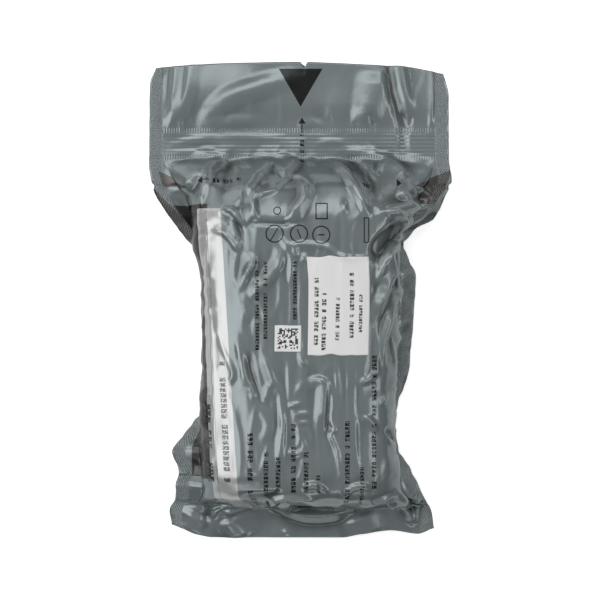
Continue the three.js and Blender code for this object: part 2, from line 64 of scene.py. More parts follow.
class Zone(Enum):
    """Zones along the pouch, from its bottom edge up."""

    BOTTOM_SEAL = "bottom seal"
    LOWER_SLOPE = "lower slope"
    BODY = "body"
    UPPER_SLOPE = "upper slope"
    TOP_SEAL = "top seal"
    HEADER = "header"


class Side(Enum):
    """Side of the pouch, as the sign of X there."""

    LEFT = -1
    RIGHT = 1


class Web(Enum):
    """Which web of film."""

    FRONT = "front"
    BACK = "back"


class Crest(Enum):
    """Cross-section of a fold: a pinched crest, two flat flanks or a soft swell."""

    PINCH = "pinch"
    FACET = "facet"
    SWELL = "swell"

    def profile(self, reach: Array) -> Array:
        """Height of the fold across its width.

        Args:
            reach: Distance from the crest as a share of the fold's width on that side.

        Returns:
            Height as a share of the crest's, 0 past the fold's edge.
        """
        if self is SWELL:
            return np.clip(1 - reach**2, 0, 1) ** 2
        rounded = np.sqrt(reach**2 + CREST_ROUND**2) - CREST_ROUND
        flank = np.clip(1 - rounded, 0, 1)
        return flank**PINCH_POWER if self is PINCH else flank


PINCH, FACET, SWELL = Crest
PINCH_POWER = 1.9
CREST_ROUND = 0.18


@dataclass(frozen=True)
class PouchSizes:
    """Driving sizes of the pouch and of the roll in it, in millimetres."""

    roll_width: float = 63.5
    roll_length: float = 98.0
    roll_thickness: float = 26.4
    roll_square: float = 3.6
    roll_clearance: float = 1.4
    roll_end_clearance: float = 1.6
    web_width: float = 104.6
    side_seal: float = 4.9
    bottom_seal: float = 10.4
    lower_slope: float = 7.3
    upper_slope: float = 12.8
    top_seal: float = 9.4
    header: float = 23.9
    film: float = 0.6
    gap: float = 0.3
    seal_film: float = 0.36
    least_film: float = 0.3
    notch_x: float = 1.4
    notch_width: float = 2.2
    notch_depth: float = 2.4
    nick_width: float = 2.0
    nick_depth: float = 1.6
    nick_at: float = 0.24

    @property
    def body_length(self) -> float:
        """Length of the pouch over the roll."""
        return self.roll_length + 2 * self.roll_end_clearance

    @property
    def roll_half(self) -> float:
        """Half the width of the body where the film is tight round the roll."""
        return self.roll_width / 2 + self.roll_clearance

    @property
    def margin(self) -> float:
        """What the flat web has past the roll on each side, up to the side seal."""
        return self.web_width / 2 - self.side_seal - self.roll_half

    @property
    def low(self) -> float:
        """Height of the contact surface where the pouch lies on the table."""
        return self.film + self.gap / 2

    @property
    def depth(self) -> float:
        """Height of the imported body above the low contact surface."""
        return self.film + self.gap + self.roll_thickness + self.roll_clearance - self.low

    def zone_ends(self) -> dict[Zone, tuple[float, float]]:
        """Start along Y and length of every zone."""
        lengths = {
            Zone.BOTTOM_SEAL: self.bottom_seal,
            Zone.LOWER_SLOPE: self.lower_slope,
            Zone.BODY: self.body_length,
            Zone.UPPER_SLOPE: self.upper_slope,
            Zone.TOP_SEAL: self.top_seal,
            Zone.HEADER: self.header,
        }
        ends = {}
        start = -sum(lengths.values()) / 2
        for zone, length in lengths.items():
            ends[zone] = (start, length)
            start += length
        return ends

    def y_of(self, zone: Zone, at: float) -> float:
        """Y of a place given as a share of a zone."""
        start, length = self.zone_ends()[zone]
        return start + at * length

    def across(self, share: float) -> float:
        """X of a place given as a share of half the body."""
        return share * self.roll_half

    def along(self, share: float) -> float:
        """Y of a place given as a share of the body, from its foot up."""
        return self.y_of(Zone.BODY, share)

    def fade(
        self, y: Array, low: tuple[Zone, float], high: tuple[Zone, float]
    ) -> Array:
        """Smooth step along Y, from 0 at one share of a zone to 1 at another."""
        return ease(self.y_of(*low), self.y_of(*high), y)


@dataclass(frozen=True)
class Section:
    """Cross-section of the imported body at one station.

    left and right say how far the body spreads, from 0, tight round the roll, to 1, the flat web.
    level is the height of the seals and rise what stands above it, as shares of the depth; hang
    is the share of level by which the back web hangs below it. square is the outline's exponent.
    """

    zone: Zone
    at: float
    left: float
    right: float
    rise: float
    level: float
    hang: float
    square: float


@dataclass(frozen=True)
class Fin:
    """Fin that a side seal makes at one station.

    leave is the angle below the widest point at which it leaves the body, reach its width past
    the seal's own as a share of the margin, and bend the angle at which it hangs below level.
    """

    zone: Zone
    at: float
    leave: float
    reach: float
    bend: float


@dataclass(frozen=True)
class EdgeDraw:
    """How far an edge of the pouch draws in at a share x of half the web, as a share of its zone."""

    x: float
    draw: float


@dataclass(frozen=True)
class Fold:
    """Fold or dent of the front web, seen in plan.

    height is in millimetres, down where it is below 0, and left and right are its widths on the
    two sides of its path. The path's points are shares of half the body across, and of the body
    along, from the roll's foot up.
    """

    height: float
    left: float
    right: float
    crest: Crest
    path: tuple[tuple[float, float], ...]


SECTIONS = (
    Section(Zone.BOTTOM_SEAL, 0, 0.47, 0.59, 0, 0.22, 0, 2),
    Section(Zone.BOTTOM_SEAL, 1, 0.225, 0.4, 0, 0.295, 0, 2),
    Section(Zone.LOWER_SLOPE, 0.18, 0.12, 0.32, 0.07, 0.31, 0.28, 2.2),
    Section(Zone.LOWER_SLOPE, 0.42, 0.04, 0.24, 0.42, 0.34, 0.55, 2.5),
    Section(Zone.LOWER_SLOPE, 0.66, 0, 0.17, 0.55, 0.36, 0.72, 2.8),
    Section(Zone.BODY, 0, -0.03, 0.1, 0.575, 0.385, 0.92, 3.1),
    Section(Zone.BODY, 0.045, 0.01, 0.06, 0.58, 0.42, 1, 3.4),
    Section(Zone.BODY, 0.175, 0.04, -0.07, 0.57, 0.43, 1, 3.5),
    Section(Zone.BODY, 0.28, 0.065, -0.07, 0.57, 0.43, 1, 3.5),
    Section(Zone.BODY, 0.4, 0, -0.03, 0.57, 0.43, 1, 3.5),
    Section(Zone.BODY, 0.7, 0.01, 0.04, 0.57, 0.43, 1, 3.5),
    Section(Zone.BODY, 0.83, 0.22, 0.03, 0.57, 0.43, 1, 3.2),
    Section(Zone.BODY, 0.91, 0.25, 0.3, 0.563, 0.43, 1, 3),
    Section(Zone.BODY, 1, 0.36, 0.55, 0.45, 0.43, 0.91, 2.5),
    Section(Zone.UPPER_SLOPE, 0.3, 0.6, 0.72, 0.3, 0.43, 0.67, 2.2),
    Section(Zone.UPPER_SLOPE, 0.68, 0.84, 0.88, 0.11, 0.43, 0.26, 2),
    Section(Zone.UPPER_SLOPE, 1, 1, 0.93, 0, 0.42, 0, 2),
    Section(Zone.TOP_SEAL, 1, 1, 0.93, 0, 0.4, 0, 2),
    Section(Zone.HEADER, 0.4, 1, 0.93, 0.05, 0.37, 0, 2),
    Section(Zone.HEADER, 1, 1, 0.93, 0.07, 0.31, 0, 2),
)
LEFT_FIN = (
    Fin(Zone.BOTTOM_SEAL, 0, 0, 0, 10),
    Fin(Zone.BOTTOM_SEAL, 1, 0, 0.27, 8),
    Fin(Zone.BODY, 0, 0, 0.39, 5),
    Fin(Zone.BODY, 0.045, 4, 0.27, 10),
    Fin(Zone.BODY, 0.12, 4, 0.42, 8),
    Fin(Zone.BODY, 0.17, 8, 0.19, 15),
    Fin(Zone.BODY, 0.27, 24, -0.08, 72),
    Fin(Zone.BODY, 0.78, 24, -0.08, 74),
    Fin(Zone.BODY, 0.863, 12, 0.02, 32),
    Fin(Zone.BODY, 0.95, 3, 0.33, 8),
    Fin(Zone.BODY, 1, 0, 0.47, 5),
    Fin(Zone.UPPER_SLOPE, 0.27, 0, 0.34, 4),
    Fin(Zone.UPPER_SLOPE, 0.68, 0, 0.15, 2),
    Fin(Zone.UPPER_SLOPE, 1, 0, 0, 0),
    Fin(Zone.HEADER, 0.74, 0, -0.02, 0),
    Fin(Zone.HEADER, 1, 0, -0.16, 0),
)
RIGHT_FIN = (
    Fin(Zone.BOTTOM_SEAL, 0, 0, 0.02, 10),
    Fin(Zone.BOTTOM_SEAL, 1, 0, 0.1, 8),
    Fin(Zone.BODY, 0, 4, 0.12, 6),
    Fin(Zone.BODY, 0.045, 8, 0.03, 25),
    Fin(Zone.BODY, 0.12, 20, -0.02, 52),
    Fin(Zone.BODY, 0.25, 24, -0.04, 57),
    Fin(Zone.BODY, 0.3, 20, 0, 48),
    Fin(Zone.BODY, 0.39, 14, 0.05, 20),
    Fin(Zone.BODY, 0.5, 12, 0.1, 15),
    Fin(Zone.BODY, 0.72, 12, 0.15, 15),
    Fin(Zone.BODY, 0.774, 14, 0.05, 28),
    Fin(Zone.BODY, 0.835, 18, 0, 52),
    Fin(Zone.BODY, 0.873, 12, 0.04, 30),
    Fin(Zone.BODY, 0.915, 4, 0.31, 10),
    Fin(Zone.BODY, 1, 0, 0.335, 5),
    Fin(Zone.UPPER_SLOPE, 0.27, 0, 0.29, 4),
    Fin(Zone.UPPER_SLOPE, 0.68, 0, 0.105, 2),
    Fin(Zone.UPPER_SLOPE, 1, 0, 0.02, 0),
    Fin(Zone.HEADER, 0.6, 0, 0.02, 0),
    Fin(Zone.HEADER, 1, 0, -0.12, 0),
)
BOTTOM_EDGE = (
    EdgeDraw(-0.86, 0.42),
    EdgeDraw(-0.76, 0.27),
    EdgeDraw(-0.68, 0.1),
    EdgeDraw(-0.58, 0),
    EdgeDraw(0.28, 0),
    EdgeDraw(0.4, 0.14),
    EdgeDraw(0.6, 0.23),
    EdgeDraw(0.78, 0.12),
    EdgeDraw(0.88, 0.3),
)
TOP_EDGE = (
    EdgeDraw(-1, 0.09),
    EdgeDraw(-0.5, 0.02),
    EdgeDraw(0, 0),
    EdgeDraw(0.45, 0.04),
    EdgeDraw(0.7, 0.07),
    EdgeDraw(0.95, 0.17),
)
HEADER_FOLDS = (
    Fold(0.7, 2.4, 2.2, FACET, ((-1.28, 1.497), (-1.31, 1.377), (-1.34, 1.308), (-1.41, 1.23))),
    Fold(0.9, 3.3, 2.7, FACET, ((-1.14, 1.497), (-1.17, 1.377), (-1.24, 1.302), (-1.39, 1.226))),
    Fold(0.35, 1.4, 1.4, PINCH, ((-1.44, 1.497), (-1.43, 1.326), (-1.44, 1.202))),
    Fold(0.9, 4.8, 5.4, SWELL,
         ((-1.01, 1.219), (-0.92, 1.284), (-0.73, 1.336), (-0.42, 1.373), (-0.1, 1.401))),
    Fold(0.5, 3.3, 3, SWELL, ((-0.99, 1.233), (-0.71, 1.25), (-0.4, 1.25))),
    Fold(0.4, 1.2, 1.2, PINCH, ((-1.25, 1.254), (-1.24, 1.219))),
    Fold(0.4, 3, 2.4, SWELL, ((-0.04, 1.233), (0.13, 1.243), (0.27, 1.233))),
    Fold(1.1, 7.5, 7.5, SWELL, ((0.77, 1.421), (0.74, 1.326), (0.71, 1.243))),
    Fold(-0.5, 1.7, 1.7, SWELL, ((0.74, 1.288), (0.75, 1.26), (0.77, 1.233))),
    Fold(-0.8, 2.8, 2.8, SWELL,
         ((0.88, 1.497), (0.95, 1.367), (1.01, 1.291), (1.06, 1.223), (1.09, 1.127))),
    Fold(1, 3.6, 3.3, SWELL, ((1.01, 1.497), (1.08, 1.36), (1.16, 1.281))),
    Fold(-0.6, 1.2, 1.2, PINCH, ((1.07, 1.278), (1.09, 1.25), (1.12, 1.219))),
    Fold(-0.5, 1.2, 1.2, PINCH, ((1.16, 1.274), (1.15, 1.243), (1.13, 1.219))),
    Fold(0.45, 1.8, 1.5, PINCH, ((1.38, 1.49), (1.38, 1.326), (1.36, 1.209))),
    Fold(0.35, 1.8, 2.2, SWELL, ((-1.34, 1.168), (-1.1, 1.189), (-0.68, 1.199), (-0.16, 1.192))),
    Fold(0.35, 2.2, 2.2, SWELL, ((-1.41, 1.137), (-1.1, 1.144), (-0.79, 1.134))),
    Fold(0.3, 1.5, 1.5, SWELL, ((0.19, 1.178), (0.31, 1.182), (0.47, 1.178))),
    Fold(0.4, 1.8, 2.2, SWELL,
         ((0.38, 1.151), (0.63, 1.148), (0.84, 1.13), (1.09, 1.127), (1.38, 1.11))),
)
SHOULDER_FOLDS = (
    Fold(1.2, 1.6, 2.2, FACET,
         ((-0.79, 1.12), (-0.91, 1.083), (-0.97, 1.038), (-1, 0.99), (-1.01, 0.949))),
    Fold(-0.6, 3, 3, SWELL, ((-0.7, 1.12), (-0.76, 1.059), (-0.78, 0.99))),
    Fold(0.71, 1.5, 2.8, FACET, ((-0.53, 1.12), (-0.54, 1.079))),
    Fold(1.7, 2, 5.2, FACET, ((-0.28, 1.127), (-0.4, 1.072), (-0.5, 1.028), (-0.6, 0.98))),
    Fold(1.6, 2, 6.2, FACET, ((-0.81, 1.127), (-0.96, 1.089), (-1.09, 1.055), (-1.23, 1.018))),
    Fold(0.71, 1.4, 1.4, PINCH, ((-0.79, 0.949), (-0.7, 0.942), (-0.65, 0.922), (-0.6, 0.898))),
    Fold(1.9, 2, 6.9, FACET, ((-0.03, 1.127), (-0.1, 1.083), (-0.2, 1.048))),
    Fold(0.71, 1.2, 1.5, PINCH,
         ((0.14, 0.994), (0.1, 1.028), (0.01, 1.052), (-0.1, 1.052), (-0.2, 1.028), (-0.29, 1.007),
          (-0.4, 0.994), (-0.46, 0.97), (-0.48, 0.942))),
    Fold(1.4, 1.4, 3.5, FACET, ((-0.39, 1.014), (-0.48, 0.98), (-0.47, 0.942), (-0.43, 0.908))),
    Fold(1.6, 3.5, 1.6, FACET,
         ((-0.01, 1.045), (0.04, 1.004), (0.01, 0.97), (-0.06, 0.942), (-0.1, 0.911))),
    Fold(0.71, 1.8, 2.5, FACET, ((0.13, 1.127), (0.11, 1.093))),
    Fold(1.5, 1.8, 2.1, FACET,
         ((0.32, 1.11), (0.45, 1.079), (0.54, 1.031), (0.62, 0.983), (0.69, 0.929))),
    Fold(-1.1, 3.2, 3.2, SWELL, ((0.47, 1.127), (0.63, 1.079), (0.73, 1.031), (0.77, 0.983))),
    Fold(2.3, 2, 7.2, FACET, ((0.88, 1.127), (1.01, 1.089), (1.11, 1.045))),
    Fold(-0.5, 1.8, 1.8, SWELL, ((0.77, 1.107), (0.8, 1.079), (0.83, 1.052))),
    Fold(1.1, 1.8, 1.8, FACET, ((1, 1.018), (1.12, 0.976), (1.24, 0.97))),
    Fold(1, 1.5, 1.5, PINCH, ((1.21, 1.028), (1.31, 1.004), (1.4, 0.98))),
    Fold(2.2, 1.8, 3, FACET, ((0.86, 0.939), (1, 0.949), (1.19, 0.963), (1.4, 0.976))),
    Fold(1.5, 1.5, 1.5, PINCH, ((0.86, 0.939), (0.99, 0.929), (1.07, 0.915), (1.03, 0.894))),
    Fold(1.6, 2, 3, FACET, ((1.04, 0.901), (1.17, 0.922), (1.35, 0.946))),
    Fold(-2.2, 2.6, 2.6, SWELL, ((1.13, 0.881), (1.3, 0.905), (1.42, 0.935))),
    Fold(-3.2, 4, 4, SWELL, ((1.07, 0.894), (0.96, 0.87), (0.85, 0.836), (0.77, 0.792))),
    Fold(1.9, 1.6, 3.4, FACET, ((0.8, 0.7), (0.84, 0.76), (0.92, 0.812), (1.02, 0.85))),
    Fold(1.6, 1.5, 1.5, PINCH, ((0.8, 0.833), (0.89, 0.853), (1, 0.86), (1.11, 0.853))),
    Fold(0.61, 1.1, 1.4, FACET, ((0.45, 0.97), (0.46, 0.932))),
)
BODY_FOLDS = (
    Fold(-0.56, 1.4, 1.4, SWELL, ((-0.56, 0.894), (-0.4, 0.901), (-0.17, 0.898), (0.02, 0.905))),
    Fold(0.67, 1.4, 1.6, PINCH,
         ((-0.17, 0.85), (-0.1, 0.826), (0.04, 0.829), (0.23, 0.823), (0.32, 0.809), (0.4, 0.788),
          (0.54, 0.781), (0.72, 0.785))),
    Fold(0.9, 1.4, 1.4, PINCH, ((-0.8, 0.946), (-0.7, 0.939), (-0.64, 0.918), (-0.58, 0.891))),
    Fold(1.1, 1.9, 1.5, PINCH, ((-0.88, 0.877), (-0.78, 0.867), (-0.7, 0.84), (-0.64, 0.802))),
    Fold(0.9, 1.5, 1.4, PINCH, ((-0.74, 0.901), (-0.67, 0.874), (-0.63, 0.84), (-0.63, 0.805))),
    Fold(-0.78, 1.6, 1.6, SWELL, ((-0.67, 0.918), (-0.62, 0.874), (-0.61, 0.826))),
    Fold(0.56, 1.2, 1.2, PINCH, ((-0.64, 0.799), (-0.67, 0.764), (-0.67, 0.713), (-0.63, 0.672))),
    Fold(0.87, 1.1, 2.2, FACET,
         ((-0.54, 0.799), (-0.48, 0.781), (-0.49, 0.751), (-0.55, 0.72), (-0.61, 0.675))),
    Fold(0.67, 2, 2, SWELL, ((-0.5, 0.764), (-0.55, 0.727))),
    Fold(0.67, 1.4, 1.4, PINCH, ((-0.18, 0.843), (-0.13, 0.812), (-0.09, 0.768), (-0.1, 0.696))),
    Fold(0.98, 1.6, 3.2, FACET,
         ((-0.18, 0.823), (-0.2, 0.771), (-0.29, 0.723), (-0.4, 0.682), (-0.52, 0.648))),
    Fold(0.78, 1.8, 1.8, SWELL, ((-0.06, 0.819), (-0.03, 0.781))),
    Fold(0.67, 1.5, 1.5, SWELL, ((0.03, 0.795), (0.05, 0.768))),
    Fold(0.28, 1.1, 1.1, PINCH, ((-0.09, 0.696), (-0.09, 0.539))),
    Fold(0.28, 1.1, 1.1, PINCH, ((0, 0.771), (0.01, 0.539))),
    Fold(0.45, 2.7, 2.7, SWELL, ((-0.58, 0.641), (-0.54, 0.6), (-0.6, 0.566))),
    Fold(0.67, 2, 2, SWELL, ((-0.65, 0.518), (-0.62, 0.47), (-0.58, 0.408), (-0.54, 0.34))),
    Fold(-0.67, 1.9, 1.9, SWELL, ((-0.53, 0.463), (-0.51, 0.402), (-0.45, 0.347), (-0.42, 0.292))),
    Fold(0.56, 1.6, 1.6, SWELL, ((-0.5, 0.354), (-0.46, 0.306))),
    Fold(0.56, 1.5, 1.5, SWELL, ((-0.32, 0.354), (-0.36, 0.302))),
    Fold(0.39, 2.4, 2.4, SWELL, ((-0.4, 0.285), (-0.33, 0.217), (-0.38, 0.162))),
    Fold(0.78, 1.4, 1.4, PINCH, ((-0.73, 0.436), (-0.69, 0.395), (-0.71, 0.357))),
    Fold(0.56, 1.1, 1.1, PINCH, ((-0.83, 0.525), (-0.79, 0.48), (-0.73, 0.432))),
    Fold(0.39, 0.9, 0.9, PINCH,
         ((-0.95, 0.942), (-0.95, 0.71), (-0.9, 0.504), (-0.88, 0.299), (-0.86, 0.162),
          (-0.83, 0.025))),
    Fold(0.7, 1.1, 2.2, FACET, ((-0.37, 0.456), (-0.33, 0.422), (-0.29, 0.381), (-0.24, 0.343))),
    Fold(0.7, 1.2, 2.4, FACET,
         ((-0.22, 0.35), (-0.21, 0.292), (-0.18, 0.224), (-0.18, 0.155), (-0.19, 0.087))),
    Fold(-0.56, 1.6, 1.6, SWELL, ((-0.26, 0.34), (-0.23, 0.265), (-0.22, 0.19))),
    Fold(0.56, 1.2, 1.2, SWELL, ((-0.11, 0.282), (0.01, 0.292))),
    Fold(0.56, 1.2, 1.2, SWELL, ((-0.03, 0.255), (0.09, 0.258))),
    Fold(0.5, 1.1, 1.1, SWELL, ((-0.02, 0.224), (0.09, 0.227))),
    Fold(0.5, 0.9, 0.9, PINCH, ((-0.01, 0.217), (-0.01, 0.162), (-0.04, 0.142))),
    Fold(0.5, 0.9, 0.9, PINCH, ((0.04, 0.217), (0.04, 0.162), (0.07, 0.138))),
    Fold(0.45, 0.9, 0.9, PINCH, ((0.08, 0.213), (0.09, 0.183), (0.13, 0.162))),
    Fold(0.78, 1.5, 1.5, SWELL, ((-0.11, 0.135), (-0.04, 0.118), (0.04, 0.135))),
    Fold(0.34, 1.4, 1.4, PINCH, ((-0.11, 0.436), (-0.11, 0.282))),
    Fold(0.45, 1.4, 1.4, SWELL, ((0, 0.463), (0.03, 0.432), (0.09, 0.426))),
    Fold(0.87, 1.2, 3.2, FACET,
         ((0.06, 0.364), (0.18, 0.374), (0.26, 0.357), (0.26, 0.292), (0.23, 0.217))),
    Fold(0.78, 1.1, 1.2, PINCH,
         ((0.28, 0.371), (0.32, 0.347), (0.33, 0.292), (0.32, 0.237), (0.36, 0.203), (0.32, 0.186),
          (0.38, 0.135), (0.42, 0.053))),
    Fold(-0.56, 1.5, 1.5, SWELL, ((0.3, 0.34), (0.3, 0.251), (0.27, 0.176))),
    Fold(0.39, 1.2, 1.2, PINCH, ((0.38, 0.456), (0.38, 0.299), (0.39, 0.217))),
    Fold(0.45, 1.1, 1.1, PINCH, ((0.49, 0.456), (0.5, 0.265), (0.54, 0.032))),
    Fold(0.34, 1.6, 1.6, SWELL, ((0.55, 0.45), (0.55, 0.231), (0.6, 0.059))),
    Fold(0.7, 0.9, 1.8, FACET, ((0.6, 0.364), (0.68, 0.371), (0.73, 0.385), (0.76, 0.408))),
    Fold(0.42, 0.9, 1.4, FACET, ((0.72, 0.316), (0.77, 0.333))),
    Fold(0.77, 0.9, 1.8, FACET, ((0.63, 0.244), (0.71, 0.237), (0.76, 0.217), (0.78, 0.196))),
    Fold(2.2, 1.4, 3, FACET,
         ((0.88, 0.805), (0.93, 0.771), (0.94, 0.73), (0.9, 0.689), (0.84, 0.641), (0.8, 0.593))),
    Fold(-1.7, 2.2, 2.2, SWELL, ((0.98, 0.799), (1, 0.751), (0.97, 0.675))),
    Fold(1.5, 1.1, 2.2, FACET, ((0.96, 0.614), (0.9, 0.552), (0.85, 0.487), (0.85, 0.422))),
    Fold(0.56, 1.1, 1.1, PINCH, ((0.79, 0.539), (0.79, 0.408), (0.86, 0.388))),
    Fold(0.67, 1.1, 1.1, PINCH, ((0.93, 0.525), (0.96, 0.436), (0.96, 0.388))),
    Fold(0.78, 1.1, 1.1, PINCH, ((0.94, 0.381), (0.99, 0.367), (0.98, 0.34), (0.92, 0.347))),
    Fold(0.9, 1.1, 1.1, SWELL, ((0.88, 0.32), (0.84, 0.292))),
    Fold(-1.8, 1.6, 1.6, SWELL, ((0.88, 0.2), (0.93, 0.186), (0.97, 0.159))),
    Fold(0.78, 0.9, 0.9, PINCH, ((0.88, 0.183), (0.94, 0.142), (1.02, 0.087))),
    Fold(1.5, 1.6, 2.6, FACET, ((1.12, 0.75), (1.04, 0.7), (0.99, 0.64))),
    Fold(1.4, 1.8, 2.4, FACET, ((1.14, 0.58), (1.04, 0.55), (0.98, 0.49))),
    Fold(1.3, 1.6, 2.4, FACET, ((1.16, 0.42), (1.06, 0.38), (1, 0.31))),
    Fold(-0.67, 0.9, 0.9, SWELL, ((0.92, 0.155), (0.98, 0.118), (1.04, 0.073))),
)
FOOT_FOLDS = (
    Fold(1.7, 1, 1.6, PINCH, ((0.04, 0.012), (0.13, 0.022), (0.21, 0.012), (0.28, -0.002))),
    Fold(1.7, 1, 1.6, PINCH, ((0.46, -0.009), (0.53, 0.012), (0.65, 0.018), (0.71, 0.005))),
    Fold(0.54, 1.1, 1.1, PINCH, ((0.44, -0.043), (0.46, -0.002), (0.49, 0.046))),
    Fold(1.3, 0.9, 1.4, PINCH,
         ((-0.89, -0.084), (-0.81, -0.064), (-0.67, -0.05), (-0.46, -0.047), (-0.31, -0.04),
          (-0.19, -0.026), (0, -0.026), (0.15, -0.036))),
    Fold(-0.94, 1.6, 1.6, SWELL, ((-0.58, -0.023), (-0.4, -0.019), (-0.21, -0.009))),
    Fold(2.8, 1.7, 3.4, FACET,
         ((-0.25, -0.043), (-0.1, -0.071), (0.05, -0.088), (0.21, -0.091), (0.37, -0.084),
          (0.49, -0.071))),
    Fold(1.1, 1.1, 1.4, PINCH,
         ((0.06, -0.043), (0.23, -0.047), (0.37, -0.05), (0.4, -0.06), (0.27, -0.067), (0.13, -0.064))),
    Fold(1.2, 1, 1.8, PINCH, ((0.49, -0.077), (0.61, -0.06), (0.77, -0.04), (1, -0.012))),
    Fold(2.6, 1.2, 2.2, FACET, ((1, -0.012), (1.08, -0.05), (1.18, -0.115))),
    Fold(2, 1, 1.4, PINCH, ((1.18, -0.053), (1.23, -0.053), (1.22, -0.118))),
    Fold(-1.2, 1.9, 1.9, SWELL, ((1.09, -0.029), (1.17, -0.077))),
    Fold(0.94, 1.2, 1.2, PINCH, ((-0.81, -0.064), (-0.89, -0.084), (-0.88, -0.105))),
    Fold(1.6, 3.4, 2.2, SWELL, ((-0.81, -0.091), (-0.67, -0.074), (-0.48, -0.06))),
    Fold(0.7, 1.6, 5, SWELL, ((-0.81, -0.105), (-0.68, -0.139), (-0.58, -0.173))),
    Fold(-0.7, 2.4, 2.4, SWELL, ((-0.96, -0.043), (-0.98, -0.084), (-1.01, -0.166))),
    Fold(0.94, 1.9, 1.9, SWELL, ((-1.33, 0.07), (-1.25, 0.049), (-1.15, 0.046))),
    Fold(1.3, 9, 8, SWELL, ((-0.72, -0.098), (-0.66, -0.136), (-0.6, -0.18))),
    Fold(1.5, 9, 9, SWELL, ((0.62, -0.091), (0.72, -0.173))),
    Fold(0.47, 1.4, 1.4, SWELL, ((-0.17, -0.153), (-0.1, -0.163))),
    Fold(1.6, 9, 8, SWELL, ((-1.1, -0.085), (-1.2, -0.155))),
)

OUTLINE_STEPS = 360
STATION_STEPS = 8
PATH_STEPS = 16
UNDERSIDE_CUT = 1.12
LEAST_SLOPE = 1e-6
NOTCH_FROM = 0.75
FACET_TURNS = (0.35, 1.45, 2.5)
FACET_RATE = 0.7
FACET_SHIFT = 0.37
FACET_WARP = 0.8
FACET_WARP_RATE = 0.45
FACET_FADE_RATE = 0.3
FACET_FADE_SEED = 7
FACET_SPREAD = 1.6


class Curve:
    """Smooth curve through a table's points, with no overshoot between them."""

    def __init__(self, places: list[float], values: list[float]) -> None:
        """Prepares the curve.

        Args:
            places: Where each value holds, rising.
            values: The values there.
        """
        self.places = np.asarray(places, float)
        self.values = np.asarray(values, float)
        slopes = np.diff(self.values) / np.diff(self.places)
        before = np.concatenate([slopes[:1], slopes])
        after = np.concatenate([slopes, slopes[-1:]])
        total = np.where(np.abs(before + after) < LEAST_SLOPE, 1, before + after)
        self.tangents = np.where(before * after > 0, 2 * before * after / total, 0)

    def __call__(self, at: Array) -> Array:
        """Values of the curve.

        Args:
            at: Places to read it at.

        Returns:
            One value for each place.
        """
        at = np.clip(at, self.places[0], self.places[-1])
        i = np.searchsorted(self.places, at, side="right") - 1
        i = np.clip(i, 0, len(self.places) - 2)
        step = self.places[i + 1] - self.places[i]
        t = (at - self.places[i]) / step
        rise = self.values[i + 1] - self.values[i]
        bow = (1 - t) * (self.tangents[i] * step - rise) + t * (rise - self.tangents[i + 1] * step)
        return self.values[i] + t * rise + t * (1 - t) * bow


def ease(low: float, high: float, values: Array) -> Array:
    """Smooth step from 0 at low to 1 at high.

    Args:
        low: Where the step starts.
        high: Where it ends, which may be the smaller.
        values: Places to read it at.

    Returns:
        Shares from 0 to 1.
    """
    t = np.clip((values - low) / (high - low), 0, 1)
    return t * t * (3 - 2 * t)


def cloudy(across: Array, along: Array, seed: float) -> Array:
    """Smooth seeded noise from -1 to 1, with features about one unit apart.

    Args:
        across: First coordinate.
        along: Second coordinate.
        seed: Which noise.

    Returns:
        Noise in the shape of the coordinates.
    """
    flat = zip(across.ravel(), along.ravel())
    values = [noise.noise(Vector((u, v, seed))) for u, v in flat]
    return np.array(values).reshape(across.shape)


def creased(across: Array, along: Array, seed: float, line: float) -> Array:
    """Seeded network of thin ridges, where a smooth noise crosses zero.

    Args:
        across: First coordinate.
        along: Second coordinate.
        seed: Which network.
        line: Width of a ridge as a share of the noise's height.

    Returns:
        Heights from 0 to 1.
    """
    return np.clip(1 - np.abs(cloudy(across, along, seed)) / line, 0, 1) ** PINCH_POWER


def facets(across: Array, along: Array, seed: float) -> Array:
    """Flat facets that meet in straight creases, as crumpled film has.

    Args:
        across: First coordinate, in facet lengths.
        along: Second coordinate, in facet lengths.
        seed: Which facets.

    Returns:
        Heights from about -1 to 1.
    """
    warp = FACET_WARP * cloudy(FACET_WARP_RATE * across, FACET_WARP_RATE * along, seed)
    fade_places = FACET_FADE_RATE * across, FACET_FADE_RATE * along
    total = np.zeros(across.shape)
    for step, turn in enumerate(FACET_TURNS):
        ramp = across * math.cos(turn + seed) + along * math.sin(turn + seed)
        phase = FACET_RATE * ramp + warp + FACET_SHIFT * step
        fade = 0.5 + 0.5 * cloudy(*fade_places, seed + FACET_FADE_SEED + step)
        total += fade * (4 * np.abs(phase - np.round(phase)) - 1)
    return total / FACET_SPREAD


def smooth_path(points: Array, step: float) -> Array:
    """Evenly spaced points on a smooth path through the given ones.

    Args:
        points: Points as rows of two coordinates.
        step: Spacing of the result.

    Returns:
        Points as rows, the first and last of them the given ends.
    """
    ends = np.vstack([2 * points[0] - points[1], points, 2 * points[-1] - points[-2]])
    t = np.linspace(0, 1, PATH_STEPS + 1)[:-1, None]
    runs = []
    for a, b, c, d in zip(ends[:-3], ends[1:-2], ends[2:-1], ends[3:]):
        curve = 2 * b + (c - a) * t + (2 * a - 5 * b + 4 * c - d) * t**2
        runs.append((curve + (3 * b - a - 3 * c + d) * t**3) / 2)
    fine = np.vstack([*runs, points[-1:]])
    lengths = np.concatenate([[0], np.cumsum(np.linalg.norm(np.diff(fine, axis=0), axis=1))])
    count = max(4, int(lengths[-1] / step))
    even = np.linspace(0, lengths[-1], count + 1)
    return np.column_stack([np.interp(even, lengths, fine[:, k]) for k in range(2)])


